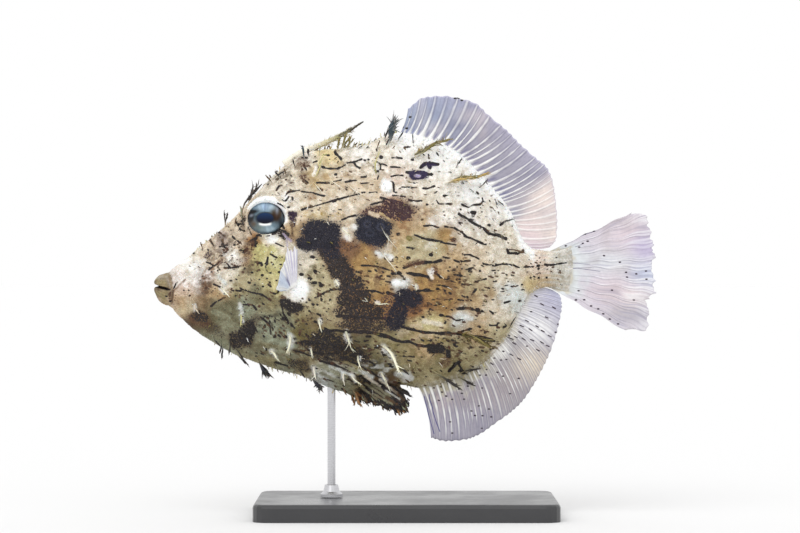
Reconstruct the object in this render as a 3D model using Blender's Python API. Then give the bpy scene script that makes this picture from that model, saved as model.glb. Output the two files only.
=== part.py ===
"""A prickly leatherjacket, a tasselled filefish, as a life-size model on a display stand.

The fish swims level with its head at -X and its left side at -Y. Sizes are in millimetres:
x runs from snout to tail, and heights are measured from the fish's own long axis.
The part's origin is the middle of the stand's underside.
"""
import math
import random

import bmesh
import bpy
import numpy as np
from mathutils import Matrix, Vector

MM = 0.001

# Driving dimensions
AXIS_HEIGHT = 106.0
GAP = 0.3
HEAD_FRONT = -95.0
HEAD_REAR = -45.0
TRUNK_REAR = 56.0
STALK_REAR = 66.0
GILL_SLANT = 0.135
SLANT_END = -5.0

# The body's outline from the side, as (x, height) points, and its half width along x
BACK_LINE = ((-95.0, -6.6), (-88.0, -3.6), (-82.0, 1.4), (-74.0, 8.0), (-64.0, 17.6), (-54.5, 28.0),
             (-45.0, 36.0), (-37.0, 39.6), (-24.0, 40.6), (-16.0, 42.0), (-8.0, 45.6), (-2.5, 46.8),
             (9.0, 44.6), (20.0, 39.2), (28.5, 31.2), (36.0, 23.0), (41.5, 15.5), (44.5, 8.0),
             (47.5, 2.8), (52.0, -0.1), (58.0, -0.6), (66.0, 1.2))
BELLY_LINE = ((-95.0, -22.0), (-90.5, -26.4), (-84.0, -32.2), (-76.0, -37.4), (-66.5, -42.2), (-55.0, -46.4),
              (-42.5, -50.0), (-33.0, -54.0), (-26.0, -56.2), (-16.0, -55.2), (-2.0, -53.8), (5.0, -55.0),
              (12.0, -53.6), (20.0, -51.0), (32.0, -44.2), (40.0, -34.8), (43.5, -28.0), (46.5, -21.6),
              (50.0, -16.8), (55.5, -14.8), (66.0, -17.0))
HALF_WIDTHS = ((-95.0, 4.2), (-88.0, 5.4), (-80.0, 7.2), (-70.0, 10.0), (-60.0, 12.6), (-50.0, 14.8),
               (-40.0, 16.3), (-30.0, 16.8), (-15.0, 16.4), (0.0, 15.0), (15.0, 12.8), (30.0, 9.6),
               (42.0, 6.2), (50.0, 4.4), (58.0, 3.4), (66.0, 2.6))
BACK_RIDGE = ((-95.0, 2.4), (-60.0, 2.6), (-30.0, 1.8), (0.0, 1.2), (66.0, 1.2))
BELLY_RIDGE = ((-95.0, 2.0), (-60.0, 1.6), (-20.0, 1.5), (10.0, 1.2), (66.0, 1.2))
BACK_KEEL = 1.1
BELLY_KEEL = 1.15

# Swellings and hollows of the flank: x, height, reach along x, reach along z, depth
RELIEF = ((-55.8, 13.6, 10.0, 9.0, 1.7), (-80.0, -4.0, 7.0, 5.0, -0.7), (-72.0, -18.0, 9.0, 8.0, 0.7),
          (-50.0, -18.0, 5.0, 12.0, 0.6), (-43.0, -15.5, 4.0, 4.0, 0.9), (-24.0, -46.0, 14.0, 5.0, -0.8))

# Eye
EYE_AT = (-55.8, 13.6)
EYE_RADIUS = 7.9
EYE_HALF_DEPTH = 4.5
EYE_SINK = 1.7
EYE_UP_TILT = 14.0
EYE_FORWARD_TILT = 7.0
RIM_RADIUS = 8.7
RIM_THICKNESS = 0.9
RIM_SIDES = 5
RIM_STEPS = 21
RIM_OFFSET = 0.37
RIM_STAND = 0.6
RIM_BREADTH = 1.45

# Mouth, nostrils and gill opening
MOUTH_LENGTH = 5.4
MOUTH_LEVEL = -14.4
LIP_HALF_WIDTH = 4.3
LIP_HALF_HEIGHT = 7.4
LIP_SEAM = 0.5
LIP_PINCH = 0.22
LIP_PINCH_WIDTH = 0.16
SEAM_FALL = 14.0
NOSTRILS = ((-66.4, 10.4), (-64.6, 7.6))
NOSTRIL_RADIUS = 0.7
GILL_TOP = (-47.2, -4.0)
GILL_FOOT = (-51.0, -17.0)
GILL_DEPTH = 2.5
GILL_WIDTH = 0.8

# Fins: each key ray is base x, then the x and height of its tip
DORSAL_KEYS = ((-2.4, 0.6, 56.6), (2.2, 7.0, 61.2), (8.2, 14.6, 61.8), (16.2, 27.0, 59.2), (20.2, 33.0, 54.0),
               (23.8, 40.6, 47.6), (29.0, 45.6, 42.4), (33.4, 51.4, 37.2), (37.4, 56.2, 33.0),
               (39.8, 58.6, 27.2), (42.2, 59.6, 21.0), (43.8, 60.4, 11.0), (47.0, 60.0, 4.6), (51.0, 57.6, 1.2))
ANAL_KEYS = ((5.0, 9.8, -75.2), (12.2, 15.8, -76.6), (18.2, 23.4, -76.0), (23.4, 29.0, -74.0),
             (28.2, 35.4, -69.6), (32.6, 41.8, -65.0), (36.2, 46.4, -60.6), (39.0, 50.4, -54.8),
             (41.4, 54.4, -47.6), (43.4, 58.0, -39.6), (45.8, 60.8, -30.4), (48.2, 62.2, -22.4),
             (51.4, 61.4, -18.2), (55.0, 58.8, -16.2))
CAUDAL_KEYS = ((90.6, 15.2), (96.4, 13.8), (98.6, 8.0), (99.6, 2.4), (100.4, -2.6), (99.4, -7.4),
               (100.2, -12.0), (100.2, -17.0), (97.0, -20.8), (98.0, -25.2), (95.6, -32.2), (88.2, -32.4))
DORSAL_RAYS = 25
ANAL_RAYS = 23
CAUDAL_RAYS = 12
PECTORAL_RAYS = 11
FIN_ROOT = 0.85
FIN_EDGE = 0.27
RAY_LIFT = 0.35
RAY_HALF_PITCH = 0.2
FIN_ROWS = 4
FIN_TAPER = 0.6
RAY_TAPER = 0.75
CAUDAL_FORE = 60.0
CAUDAL_WRAP = 0.16

# Pectoral fins: base ends as (x, height), ray reach, and the first, middle and last ray's direction
PECTORAL_TOP = (-42.8, -11.4)
PECTORAL_FOOT = (-45.4, -16.0)
PECTORAL_FAN = (((0.02, 0.30, 0.95), 15.6), ((-0.10, 0.66, 0.74), 15.4), ((-0.40, 0.80, 0.30), 9.0))
PECTORAL_ROOT = 0.5
PECTORAL_LIFT = 0.2

# Pelvic flap: base x, then the x and height of its hem
FLAP_KEYS = ((-25.0, -22.6, -58.4), (-20.0, -18.2, -60.6), (-14.0, -12.6, -61.8), (-9.0, -7.4, -63.6),
             (-5.5, -1.6, -65.0), (-3.2, 1.0, -62.0))
FLAP_FOLDS = 8

# First dorsal spine, laid back along the ridge: (x, height) of its line, and its radii
SPINE_LINE = ((-49.0, 34.2), (-42.0, 39.0), (-34.0, 42.2), (-26.0, 46.0), (-17.2, 51.4))
SPINE_RADII = (1.5, 1.3, 1.1, 0.85, 0.25)
SPINE_STEPS = 13

# Skin tassels on a flank: root x and height, tip x and height, breadth in its own plane
FLANK_TASSELS = ((-66.2, -24.0, -66.6, -29.4, 1.6), (-73.0, -15.2, -70.2, -19.0, 1.0),
                 (-84.6, -22.8, -83.2, -25.6, 1.0), (-53.4, -40.0, -51.2, -45.6, 1.6),
                 (-52.5, -34.8, -51.8, -41.2, 1.6), (-35.0, -28.6, -34.6, -32.6, 1.0),
                 (-36.8, -39.0, -36.2, -43.0, 1.0), (-23.8, -34.0, -22.0, -41.2, 1.6),
                 (-19.4, -43.0, -19.2, -47.4, 1.2), (-9.8, -38.8, -2.0, -46.4, 1.6),
                 (-25.4, -50.0, -25.8, -53.6, 1.0), (-14.0, -50.8, -12.2, -54.6, 1.2),
                 (-10.6, 0.4, -4.4, -7.6, 1.6), (-25.4, 8.6, -22.0, 4.8, 1.2),
                 (-12.6, -21.4, -8.4, -22.8, 1.0), (3.6, -14.2, 7.2, -16.4, 1.0),
                 (-9.4, 41.0, -5.0, 52.4, 2.4), (-4.4, 43.6, -1.4, 48.2, 1.2),
                 (2.0, 37.0, 16.8, 44.4, 1.2), (15.0, 26.4, 33.0, 31.0, 1.2),
                 (25.0, 17.0, 31.0, 19.6, 1.0), (29.4, -33.2, 36.4, -39.2, 1.4),
                 (39.0, -27.6, 42.4, -35.4, 1.4), (11.4, -47.6, 21.8, -55.4, 1.4),
                 (18.4, -45.2, 27.4, -51.4, 1.4), (43.0, 2.4, 47.6, 7.4, 1.0),
                 (-34.0, 30.4, -31.4, 25.4, 1.0), (-62.0, 2.4, -60.4, -1.6, 1.0))

# Tassels on the back and belly lines: root x, tip x and height, breadth
BACK_TASSELS = ((-65.6, -61.0, 26.4, 1.8), (-72.8, -72.4, 15.4, 1.0), (-80.6, -79.6, 5.4, 1.0),
                (-53.4, -49.4, 33.4, 1.4), (-14.5, -14.0, 45.6, 1.0))
BELLY_TASSELS = ((-75.8, -75.2, -42.0, 1.2), (-70.0, -66.6, -46.4, 1.2), (-64.4, -62.8, -47.8, 1.2),
                 (-59.6, -55.0, -52.0, 3.2), (-47.6, -46.2, -52.8, 1.0), (-37.8, -34.0, -57.6, 3.0))
FLAP_TASSELS = ((-21.0, -58.8, -18.6, -62.6, 2.4), (-14.5, -60.0, -11.4, -64.2, 1.8),
                (-8.0, -61.0, -4.6, -66.2, 2.4), (-3.6, -61.4, 1.6, -65.8, 2.2))
SPINE_TASSELS = ((-27.6, 45.0, -28.2, 48.4), (-25.0, 46.4, -20.6, 46.6), (-30.5, 43.8, -33.2, 46.6))
TASSEL_RADII = (0.8, 0.7, 0.55, 0.25)
BRANCH_RADII = (0.42, 0.2)
SHORT_TASSEL = 5.0
LONG_TASSEL = 10.0
TASSEL_SINK = 1.3
TASSEL_RISE = 0.45
TASSEL_RISE_LIMIT = 2.6
TASSEL_STAND_OFF = 1.8
TASSEL_LEAN_OUT = 0.12
TASSEL_DRIFT = 1.6
BRANCH_SINK = 0.15
BRANCH_REACH = (0.24, 0.34)
TASSEL_SEED = 7
UNSEEN_SHARE = 0.8

# Display stand
BASE_LENGTH = 120.0
BASE_DEPTH = 76.0
BASE_THICKNESS = 7.0
BASE_CORNER = 6.0
BASE_BEVEL = 1.5
HOLE_DEPTH = 3.5
ROD_RADIUS = 1.6
ROD_X = -30.0
SOCKET_DEPTH = 5.0
CUT_MARGIN = 4.0
COLLAR_RADIUS = 4.5
COLLAR_HEIGHT = 5.0

RING_POINTS = 19


def clear_scene():
    for item in list(bpy.data.objects):
        bpy.data.objects.remove(item, do_unlink=True)


def new_collection(name):
    group = bpy.data.collections.new(name)
    bpy.context.scene.collection.children.link(group)
    return group


def material(name, colour, roughness, metallic=0.0):
    finish = bpy.data.materials.new(name)
    finish.use_nodes = True
    shader = finish.node_tree.nodes["Principled BSDF"]
    shader.inputs["Base Color"].default_value = (*colour, 1.0)
    shader.inputs["Roughness"].default_value = roughness
    shader.inputs["Metallic"].default_value = metallic
    return finish


def curve(points):
    """A smooth function of position through (position, value) points, with no overshoot."""
    places, values = np.array(points, float).T
    steps = np.diff(places)
    slopes = np.diff(values) / steps
    tangents = np.concatenate((slopes[:1], slopes[1:], slopes[-1:]))
    for index in range(1, len(places) - 1):
        before, after = slopes[index - 1], slopes[index]
        tangents[index] = 0.0 if before * after <= 0 else 2 * before * after / (before + after)

    def value(position):
        position = np.clip(position, places[0], places[-1])
        index = np.clip(np.searchsorted(places, position) - 1, 0, len(steps) - 1)
        step = steps[index]
        t = (position - places[index]) / step
        rise = 3 * t ** 2 - 2 * t ** 3
        leave = (t ** 3 - 2 * t ** 2 + t) * step * tangents[index]
        arrive = (t ** 3 - t ** 2) * step * tangents[index + 1]
        return values[index] * (1 - rise) + values[index + 1] * rise + leave + arrive

    return value


back = curve(BACK_LINE)
belly = curve(BELLY_LINE)
half_width = curve(HALF_WIDTHS)
back_ridge = curve(BACK_RIDGE)
belly_ridge = curve(BELLY_RIDGE)


def relief(x, height):
    """Depth of the flank's swellings and hollows at a place in the side view."""
    total = 0.0
    for at_x, at_height, reach_x, reach_z, depth in RELIEF:
        total = total + depth * np.exp(-((x - at_x) / reach_x) ** 2 - ((height - at_height) / reach_z) ** 2)
    return total


def flank(x, height):
    """Half the body's width at a place in its side view."""
    middle = (back(x) + belly(x)) / 2
    level = np.clip((height - middle) / ((back(x) - belly(x)) / 2), -1, 1)
    keel = np.where(level > 0, BACK_KEEL, BELLY_KEEL)
    ridge = np.where(level > 0, back_ridge(x), belly_ridge(x))
    fullness = np.sqrt(1 - level ** 2) ** keel
    return ridge + (half_width(x) - ridge + relief(x, height)) * fullness


def slant(station):
    """Forward lean of the body's sections, full at the gill cover and none at snout and tail."""
    rise = np.clip((station - HEAD_FRONT) / (HEAD_REAR - HEAD_FRONT), 0, 1)
    fall = np.clip((SLANT_END - station) / (SLANT_END - HEAD_REAR), 0, 1)
    return GILL_SLANT * min(rise, fall)


def margin(station, lean, line):
    """Where a leaning section meets the back or belly line, as x and height."""
    height = line(station)
    for _ in range(30):
        height = line(station + lean * height)
    return station + lean * height, float(height)


def mesh_object(name, bm, finish, group):
    """Turn finished geometry into an object of one material."""
    bmesh.ops.recalc_face_normals(bm, faces=bm.faces)
    mesh = bpy.data.meshes.new(name)
    bm.to_mesh(mesh)
    bm.free()
    mesh.shade_smooth()
    mesh.set_sharp_from_angle(angle=math.radians(40))
    made = bpy.data.objects.new(name, mesh)
    made.data.materials.append(finish)
    group.objects.link(made)
    return made


def place(x, y, height):
    """A point of the fish, in metres above the stand's underside."""
    return Vector((x * MM, y * MM, (height + AXIS_HEIGHT) * MM))


def section(station):
    """Left and right rows of points of one body section, from the back down to the belly."""
    lean = slant(station)
    top_x, top = margin(station, lean, back)
    foot_x, foot = margin(station, lean, belly)
    left, right = [], []
    for index in range(RING_POINTS):
        level = math.cos(math.pi * index / (RING_POINTS - 1))
        share = (1 + level) / 2
        x = foot_x + (top_x - foot_x) * share
        height = foot + (top - foot) * share
        if index == 0:
            width = float(back_ridge(x))
        elif index == RING_POINTS - 1:
            width = float(belly_ridge(x))
        else:
            width = float(flank(x, height))
        left.append((x, -width, height))
        right.append((x, width, height))
    return left, right


def skin_strip(bm, near, far):
    for index in range(len(near) - 1):
        bm.faces.new((near[index], near[index + 1], far[index + 1], far[index]))


def body_piece(name, stations, finish, group):
    """One length of the body, lofted through its sections and closed by flat faces."""
    bm = bmesh.new()
    rows = []
    for station in stations:
        left, right = section(station)
        rows.append(([bm.verts.new(place(*point)) for point in left],
                     [bm.verts.new(place(*point)) for point in right]))
    for (left, right), (next_left, next_right) in zip(rows, rows[1:]):
        skin_strip(bm, left, next_left)
        skin_strip(bm, next_right, right)
        bm.faces.new((left[0], next_left[0], next_right[0], right[0]))
        bm.faces.new((left[-1], right[-1], next_right[-1], next_left[-1]))
    skin_strip(bm, rows[0][1], rows[0][0])
    skin_strip(bm, rows[-1][0], rows[-1][1])
    return mesh_object(name, bm, finish, group)


def spaced(start, end, count, crowding=1.0):
    """Stations from start to end, closer together towards the end as crowding passes one."""
    return [end - (end - start) * (1 - step / (count - 1)) ** crowding for step in range(count)]


def sheet(bm, columns):
    """Close a thin sheet whose columns hold pairs of points, split alike on both faces."""
    for column, following in zip(columns, columns[1:]):
        for row in range(len(column) - 1):
            for side in (0, 1):
                a, b = column[row][side], following[row][side]
                c, d = following[row + 1][side], column[row + 1][side]
                bm.faces.new((a, b, c) if side else (a, c, b))
                bm.faces.new((a, c, d) if side else (a, d, c))
        for row in (0, -1):
            bm.faces.new((column[row][0], column[row][1], following[row][1], following[row][0]))
    for column in (columns[0], columns[-1]):
        for lower, upper in zip(column, column[1:]):
            bm.faces.new((lower[0], lower[1], upper[1], upper[0]))
    bmesh.ops.triangulate(bm, faces=[face for face in bm.faces if len(face.verts) > 3])


def ray_shares(rays):
    """Places along a fin of each ray's crest and the two feet of its ridge."""
    for ray in range(rays):
        for side in (-1, 0, 1):
            spot = ray + side * RAY_HALF_PITCH
            if 0 <= spot <= rays - 1:
                yield spot / (rays - 1), side == 0


def ribbed_fin(name, base, edge, rays, finish, group, root=FIN_ROOT, rim=FIN_EDGE, lift=RAY_LIFT,
               bow=0.0, sway=0.0, waves=0.0, scallop=0.0):
    """A fin between two lines, thin between its rays and thicker along each of them.

    base and edge give a point for a share of the fin's length. bow curves the rays, sway and
    waves bend the fin sideways towards its edge, and scallop cuts the edge in between rays.
    """
    bm = bmesh.new()
    columns = []
    for share, crest in ray_shares(rays):
        start = Vector(base(share))
        end = Vector(edge(share))
        across = (end - start).cross(Vector((0, 1, 0)))
        reach = 1.0 if crest else 1.0 - scallop / max((end - start).length, 1.0)
        column = []
        for row in range(FIN_ROWS):
            t = row / (FIN_ROWS - 1)
            spot = start.lerp(end, t * reach) + across * (bow * 4 * t * (1 - t))
            half = root + (rim - root) * t ** FIN_TAPER
            if crest:
                half += lift * (1 - RAY_TAPER * t)
            spot.y += sway * t * math.sin(waves * share)
            column.append([bm.verts.new(place(spot.x, spot.y + half * side, spot.z)) for side in (-1, 1)])
        columns.append(column)
    sheet(bm, columns)
    return mesh_object(name, bm, finish, group)


def key_line(keys, column):
    """One number of each key ray as a smooth function of the share along the fin."""
    return curve([(index / (len(keys) - 1), key[column]) for index, key in enumerate(keys)])


def on_margin(line, x, side):
    """A point of the back or belly line, moved off the body by the gap."""
    step = 0.2
    slope = (line(x + step) - line(x - step)) / (2 * step)
    off = Vector((-slope, 0, 1)).normalized() * GAP * side
    return (x + off.x, 0.0, float(line(x)) + off.z)


def margin_fin(name, keys, line, side, rays, finish, group, **shape):
    """A fin that stands on the back line, where side is 1, or hangs from the belly line."""
    base_x, tip_x, tip_height = (key_line(keys, column) for column in range(3))

    def base(share):
        return on_margin(line, float(base_x(share)), side)

    def edge(share):
        return (float(tip_x(share)), 0.0, float(tip_height(share)))

    return ribbed_fin(name, base, edge, rays, finish, group, **shape)


def caudal_base(share):
    """Round the tail stalk's end: along its back, down its rear face and along its belly."""
    rear = STALK_REAR + GAP
    top = float(back(STALK_REAR)) + GAP
    foot = float(belly(STALK_REAR)) - GAP
    if share < CAUDAL_WRAP:
        x = CAUDAL_FORE + (rear - CAUDAL_FORE) * share / CAUDAL_WRAP
        return (x, 0.0, float(back(x)) + GAP)
    if share > 1 - CAUDAL_WRAP:
        x = CAUDAL_FORE + (rear - CAUDAL_FORE) * (1 - share) / CAUDAL_WRAP
        return (x, 0.0, float(belly(x)) - GAP)
    return (rear, 0.0, top + (foot - top) * (share - CAUDAL_WRAP) / (1 - 2 * CAUDAL_WRAP))


def caudal_fin(finish, group):
    tip_x = key_line(CAUDAL_KEYS, 0)
    tip_height = key_line(CAUDAL_KEYS, 1)

    def edge(share):
        return (float(tip_x(share)), 0.0, float(tip_height(share)))

    ribbed_fin("caudal_fin", caudal_base, edge, CAUDAL_RAYS, finish, group, sway=0.9, waves=5.0, scallop=1.0)


def pectoral_fin(name, side, finish, group):
    """A small fan that stands out from the flank, its first rays up and its last ones forward."""
    top, foot = [Vector((x, side * (float(flank(x, height)) + GAP + PECTORAL_ROOT), height))
                 for x, height in (PECTORAL_TOP, PECTORAL_FOOT)]
    tips = []
    for index, (direction, length) in enumerate(PECTORAL_FAN):
        way = Vector((direction[0], side * direction[1], direction[2])).normalized()
        tips.append(top.lerp(foot, index / 2) + way * length)

    def spot(share, t):
        tip = bend(tips[0], tips[1], tips[2], share)
        return top.lerp(foot, share).lerp(tip, t)

    bm = bmesh.new()
    columns = []
    for index in range(2 * PECTORAL_RAYS - 1):
        share = index / (2 * PECTORAL_RAYS - 2)
        column = []
        for row in range(FIN_ROWS):
            t = row / (FIN_ROWS - 1)
            along = spot(min(share + 0.02, 1.0), t) - spot(max(share - 0.02, 0.0), t)
            out = (spot(share, 1) - spot(share, 0)).cross(along).normalized()
            half = PECTORAL_ROOT + (FIN_EDGE - PECTORAL_ROOT) * t
            if index % 2 == 0:
                half += PECTORAL_LIFT * (1 - RAY_TAPER * t)
            column.append([bm.verts.new(place(*(spot(share, t) + out * half * turn))) for turn in (-1, 1)])
        columns.append(column)
    sheet(bm, columns)
    mesh_object(name, bm, finish, group)


def bend(start, control, end, t):
    """A point of the curve from start to end that is drawn towards control."""
    return start.lerp(control, t).lerp(control.lerp(end, t), t)


def stem(name, points, radii, sides, finish, group, flat=Vector((0, 1, 0)), breadth=1.0):
    """A closed tapering stem through points, broader across its flat direction in the middle."""
    bm = bmesh.new()
    points = [Vector(point) for point in points]
    rings = []
    for index, (point, radius) in enumerate(zip(points, radii)):
        before = points[max(index - 1, 0)]
        after = points[min(index + 1, len(points) - 1)]
        along = (after - before).normalized()
        across = along.cross(flat).normalized()
        through = across.cross(along)
        spread = 1 + (breadth - 1) * math.sin(math.pi * (0.25 + 0.6 * index / (len(points) - 1)))
        ring = []
        for step in range(sides):
            turn = 2 * math.pi * step / sides
            offset = across * math.cos(turn) * spread + through * math.sin(turn)
            ring.append(bm.verts.new(place(*(point + offset * radius))))
        rings.append(ring)
    for ring, following in zip(rings, rings[1:]):
        for step in range(sides):
            after = (step + 1) % sides
            bm.faces.new((ring[step], ring[after], following[after], following[step]))
    bm.faces.new(rings[0])
    bm.faces.new(rings[-1])
    return mesh_object(name, bm, finish, group)


def surface_point(x, height, side):
    """A point of the flank and the direction that points out of the body there."""
    step = 0.5
    slope_x = float(flank(x + step, height) - flank(x - step, height)) / (2 * step)
    slope_z = float(flank(x, height + step) - flank(x, height - step)) / (2 * step)
    spot = Vector((x, side * float(flank(x, height)), height))
    return spot, Vector((-slope_x, side, -slope_z)).normalized()


def tassel(root, way, tip, breadth, flat, chance, finish, group):
    """A tapering skin tassel, rooted below the surface, with side branches when it is long."""
    length = (tip - root).length
    control = root + way * min(length * TASSEL_RISE, TASSEL_RISE_LIMIT) + (tip - root) * 0.25
    start = root - way * TASSEL_SINK
    short = length < SHORT_TASSEL
    radii = TASSEL_RADII[::2] + TASSEL_RADII[-1:] if short else TASSEL_RADII
    steps = len(radii) - 1
    points = [bend(start, control, tip, step / steps) for step in range(steps + 1)]
    size = min(1.0, 0.6 + length / 16)
    sides = 3 if short else 4
    stem("tassel", points, [radius * size for radius in radii], sides, finish, group, flat, breadth)
    branches = 0 if short else 2 if length < LONG_TASSEL else 3
    for branch in range(branches):
        t = 0.45 + 0.4 * (branch + chance.random() * 0.4) / branches
        fork = bend(start, control, tip, t)
        ahead = (bend(start, control, tip, t + 0.05) - fork).normalized()
        turn = 1 if branch % 2 else -1
        aside = ahead.cross(flat).normalized() * turn * 0.75 + ahead * 0.9 + flat * chance.uniform(-0.1, 0.35)
        aside.normalize()
        ends = [fork - aside * BRANCH_SINK, fork + aside * length * chance.uniform(*BRANCH_REACH)]
        stem("branch", ends, [BRANCH_RADII[0] * size, BRANCH_RADII[1]], 3, finish, group, flat)


def flank_tassels(side, wanted, finish, group):
    """The tassels of one flank whose roots the wanted test takes, jittered on the unseen side."""
    chance = random.Random(TASSEL_SEED + side)
    drift = TASSEL_DRIFT if side > 0 else 0.0
    for root_x, root_height, tip_x, tip_height, breadth in FLANK_TASSELS:
        reach_x = tip_x - root_x
        reach_z = tip_height - root_height
        root_x += chance.uniform(-drift, drift)
        root_height += chance.uniform(-drift, drift)
        unseen_keep = chance.random() < UNSEEN_SHARE
        seed = chance.random()
        if wanted(root_x, root_height) and (side < 0 or unseen_keep):
            root, way = surface_point(root_x, root_height, side)
            stand_off = TASSEL_STAND_OFF + TASSEL_LEAN_OUT * math.hypot(reach_x, reach_z)
            tip = Vector((root_x + reach_x, 0, root_height + reach_z))
            tip.y = side * (float(flank(tip.x, tip.z)) + stand_off)
            tassel(root, way, tip, breadth, way, random.Random(seed), finish, group)


def margin_tassels(rows, line, turn, wanted, finish, group):
    """The tassels along the back, where turn is 1, or along the belly, where it is -1."""
    chance = random.Random(TASSEL_SEED * (3 + turn))
    for root_x, tip_x, tip_height, breadth in rows:
        height = float(line(root_x))
        sideways = chance.uniform(-0.7, 0.7)
        seed = chance.random()
        if wanted(root_x, height):
            slope = float(line(root_x + 0.5) - line(root_x - 0.5))
            way = Vector((-slope, 0, 1)).normalized() * turn
            root = Vector((root_x, sideways, height))
            tip = Vector((tip_x, sideways * 2.5, tip_height))
            tassel(root, way, tip, breadth, Vector((0, 1, 0)), random.Random(seed), finish, group)


def in_head(x, height):
    """True in front of the section that parts the head from the trunk."""
    return x - GILL_SLANT * height < HEAD_REAR


def dress(node, wanted, finish):
    """Fuse a body node with all the tassels that grow from it."""
    joined = new_collection(node.name + "_tassels")
    for side in (-1, 1):
        flank_tassels(side, wanted, finish, joined)
    margin_tassels(BACK_TASSELS, back, 1, wanted, finish, joined)
    margin_tassels(BELLY_TASSELS, belly, -1, wanted, finish, joined)
    boolean(node, "UNION", joined, "MANIFOLD")


def flat_tassels(node, rows, finish):
    """Fuse a flap or spine with the tassels that hang from it."""
    joined = new_collection(node.name + "_tassels")
    chance = random.Random(TASSEL_SEED)
    for row in rows:
        root_x, root_height, tip_x, tip_height = row[:4]
        breadth = row[4] if len(row) > 4 else 1.0
        root = Vector((root_x, 0.0, root_height))
        tip = Vector((tip_x, chance.uniform(-1.4, 1.4), tip_height))
        way = (tip - root).normalized()
        tassel(root, way, tip, breadth, Vector((0, 1, 0)), random.Random(chance.random()), finish, joined)
    boolean(node, "UNION", joined, "MANIFOLD")


def spine_path():
    """Points along the first dorsal spine, and its radius at each of them."""
    height = curve(SPINE_LINE)
    radius = curve([(point[0], size) for point, size in zip(SPINE_LINE, SPINE_RADII)])
    places = np.linspace(SPINE_LINE[0][0], SPINE_LINE[-1][0], SPINE_STEPS)
    return [(float(x), 0.0, float(height(x))) for x in places], [float(radius(x)) for x in places]


def ellipsoid(name, centre, radii, turn, finish, group, segments=24, rings=12):
    """A ball with its poles along its own Y axis, stretched and turned about its centre."""
    bm = bmesh.new()
    bmesh.ops.create_uvsphere(bm, u_segments=segments, v_segments=rings, radius=1.0)
    matrix = (Matrix.Translation(place(*centre)) @ turn @ Matrix.Diagonal((*[r * MM for r in radii], 1.0))
              @ Matrix.Rotation(math.radians(90), 4, "X"))
    bmesh.ops.transform(bm, matrix=matrix, verts=bm.verts)
    return mesh_object(name, bm, finish, group)


def eye_pose(side):
    """Centre of an eyeball and the turn that faces it out of the head."""
    x, height = EYE_AT
    centre = (x, side * (float(flank(x, height)) - EYE_SINK), height)
    turn = (Matrix.Rotation(math.radians(side * EYE_FORWARD_TILT), 4, "Z")
            @ Matrix.Rotation(math.radians(side * EYE_UP_TILT), 4, "X"))
    return centre, turn


def boolean(target, operation, group, solver="EXACT"):
    """Join or cut a mesh with all of a collection, then remove the collection's objects."""
    modifier = target.modifiers.new(operation.lower(), "BOOLEAN")
    modifier.operation = operation
    modifier.operand_type = "COLLECTION"
    modifier.collection = group
    modifier.solver = solver
    dependencies = bpy.context.evaluated_depsgraph_get()
    dependencies.update()
    mesh = bpy.data.meshes.new_from_object(target.evaluated_get(dependencies))
    target.modifiers.clear()
    target.data = mesh
    for item in list(group.objects):
        bpy.data.objects.remove(item, do_unlink=True)
    bpy.data.collections.remove(group)
    keep_largest(target)


def keep_largest(target):
    """Keep the closed surface with the most points and drop any loose others."""
    bm = bmesh.new()
    bm.from_mesh(target.data)
    waiting = set(bm.verts)
    shells = []
    while waiting:
        shell = {waiting.pop()}
        front = list(shell)
        while front:
            for edge in front.pop().link_edges:
                for vert in edge.verts:
                    if vert in waiting:
                        waiting.discard(vert)
                        shell.add(vert)
                        front.append(vert)
        shells.append(shell)
    shells.sort(key=len)
    for shell in shells[:-1]:
        bmesh.ops.delete(bm, geom=list(shell), context="VERTS")
    bm.to_mesh(target.data)
    bm.free()
    target.data.shade_smooth()
    target.data.set_sharp_from_angle(angle=math.radians(40))


def socket_cutters(finish, group):
    """What is cut from both sides of the head: eye socket, nostrils and gill opening."""
    for side in (-1, 1):
        centre, turn = eye_pose(side)
        radii = (EYE_RADIUS + GAP, EYE_HALF_DEPTH + GAP, EYE_RADIUS + GAP)
        ellipsoid("socket", centre, radii, turn, finish, group, 20, 10)
        for x, height in NOSTRILS:
            at = (x, side * float(flank(x, height)), height)
            ellipsoid("nostril", at, (NOSTRIL_RADIUS,) * 3, Matrix.Identity(4), finish, group, 8, 6)
        gill_cutter(side, finish, group)


def gill_cutter(side, finish, group):
    """A thin upright blade that opens the slit in front of the pectoral fin."""
    top = Vector((GILL_TOP[0], 0, GILL_TOP[1]))
    foot = Vector((GILL_FOOT[0], 0, GILL_FOOT[1]))
    bm = bmesh.new()
    bmesh.ops.create_cube(bm, size=1.0)
    middle = (top + foot) / 2
    along = top - foot
    lean = math.atan2(along.x, along.z)
    at = place(middle.x, side * float(flank(middle.x, middle.z)), middle.z)
    scale = Matrix.Diagonal((GILL_WIDTH * MM, 2 * GILL_DEPTH * MM, along.length * MM, 1.0))
    matrix = Matrix.Translation(at) @ Matrix.Rotation(lean, 4, "Y") @ scale
    bmesh.ops.transform(bm, matrix=matrix, verts=bm.verts)
    mesh_object("gill_slit", bm, finish, group)


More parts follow.
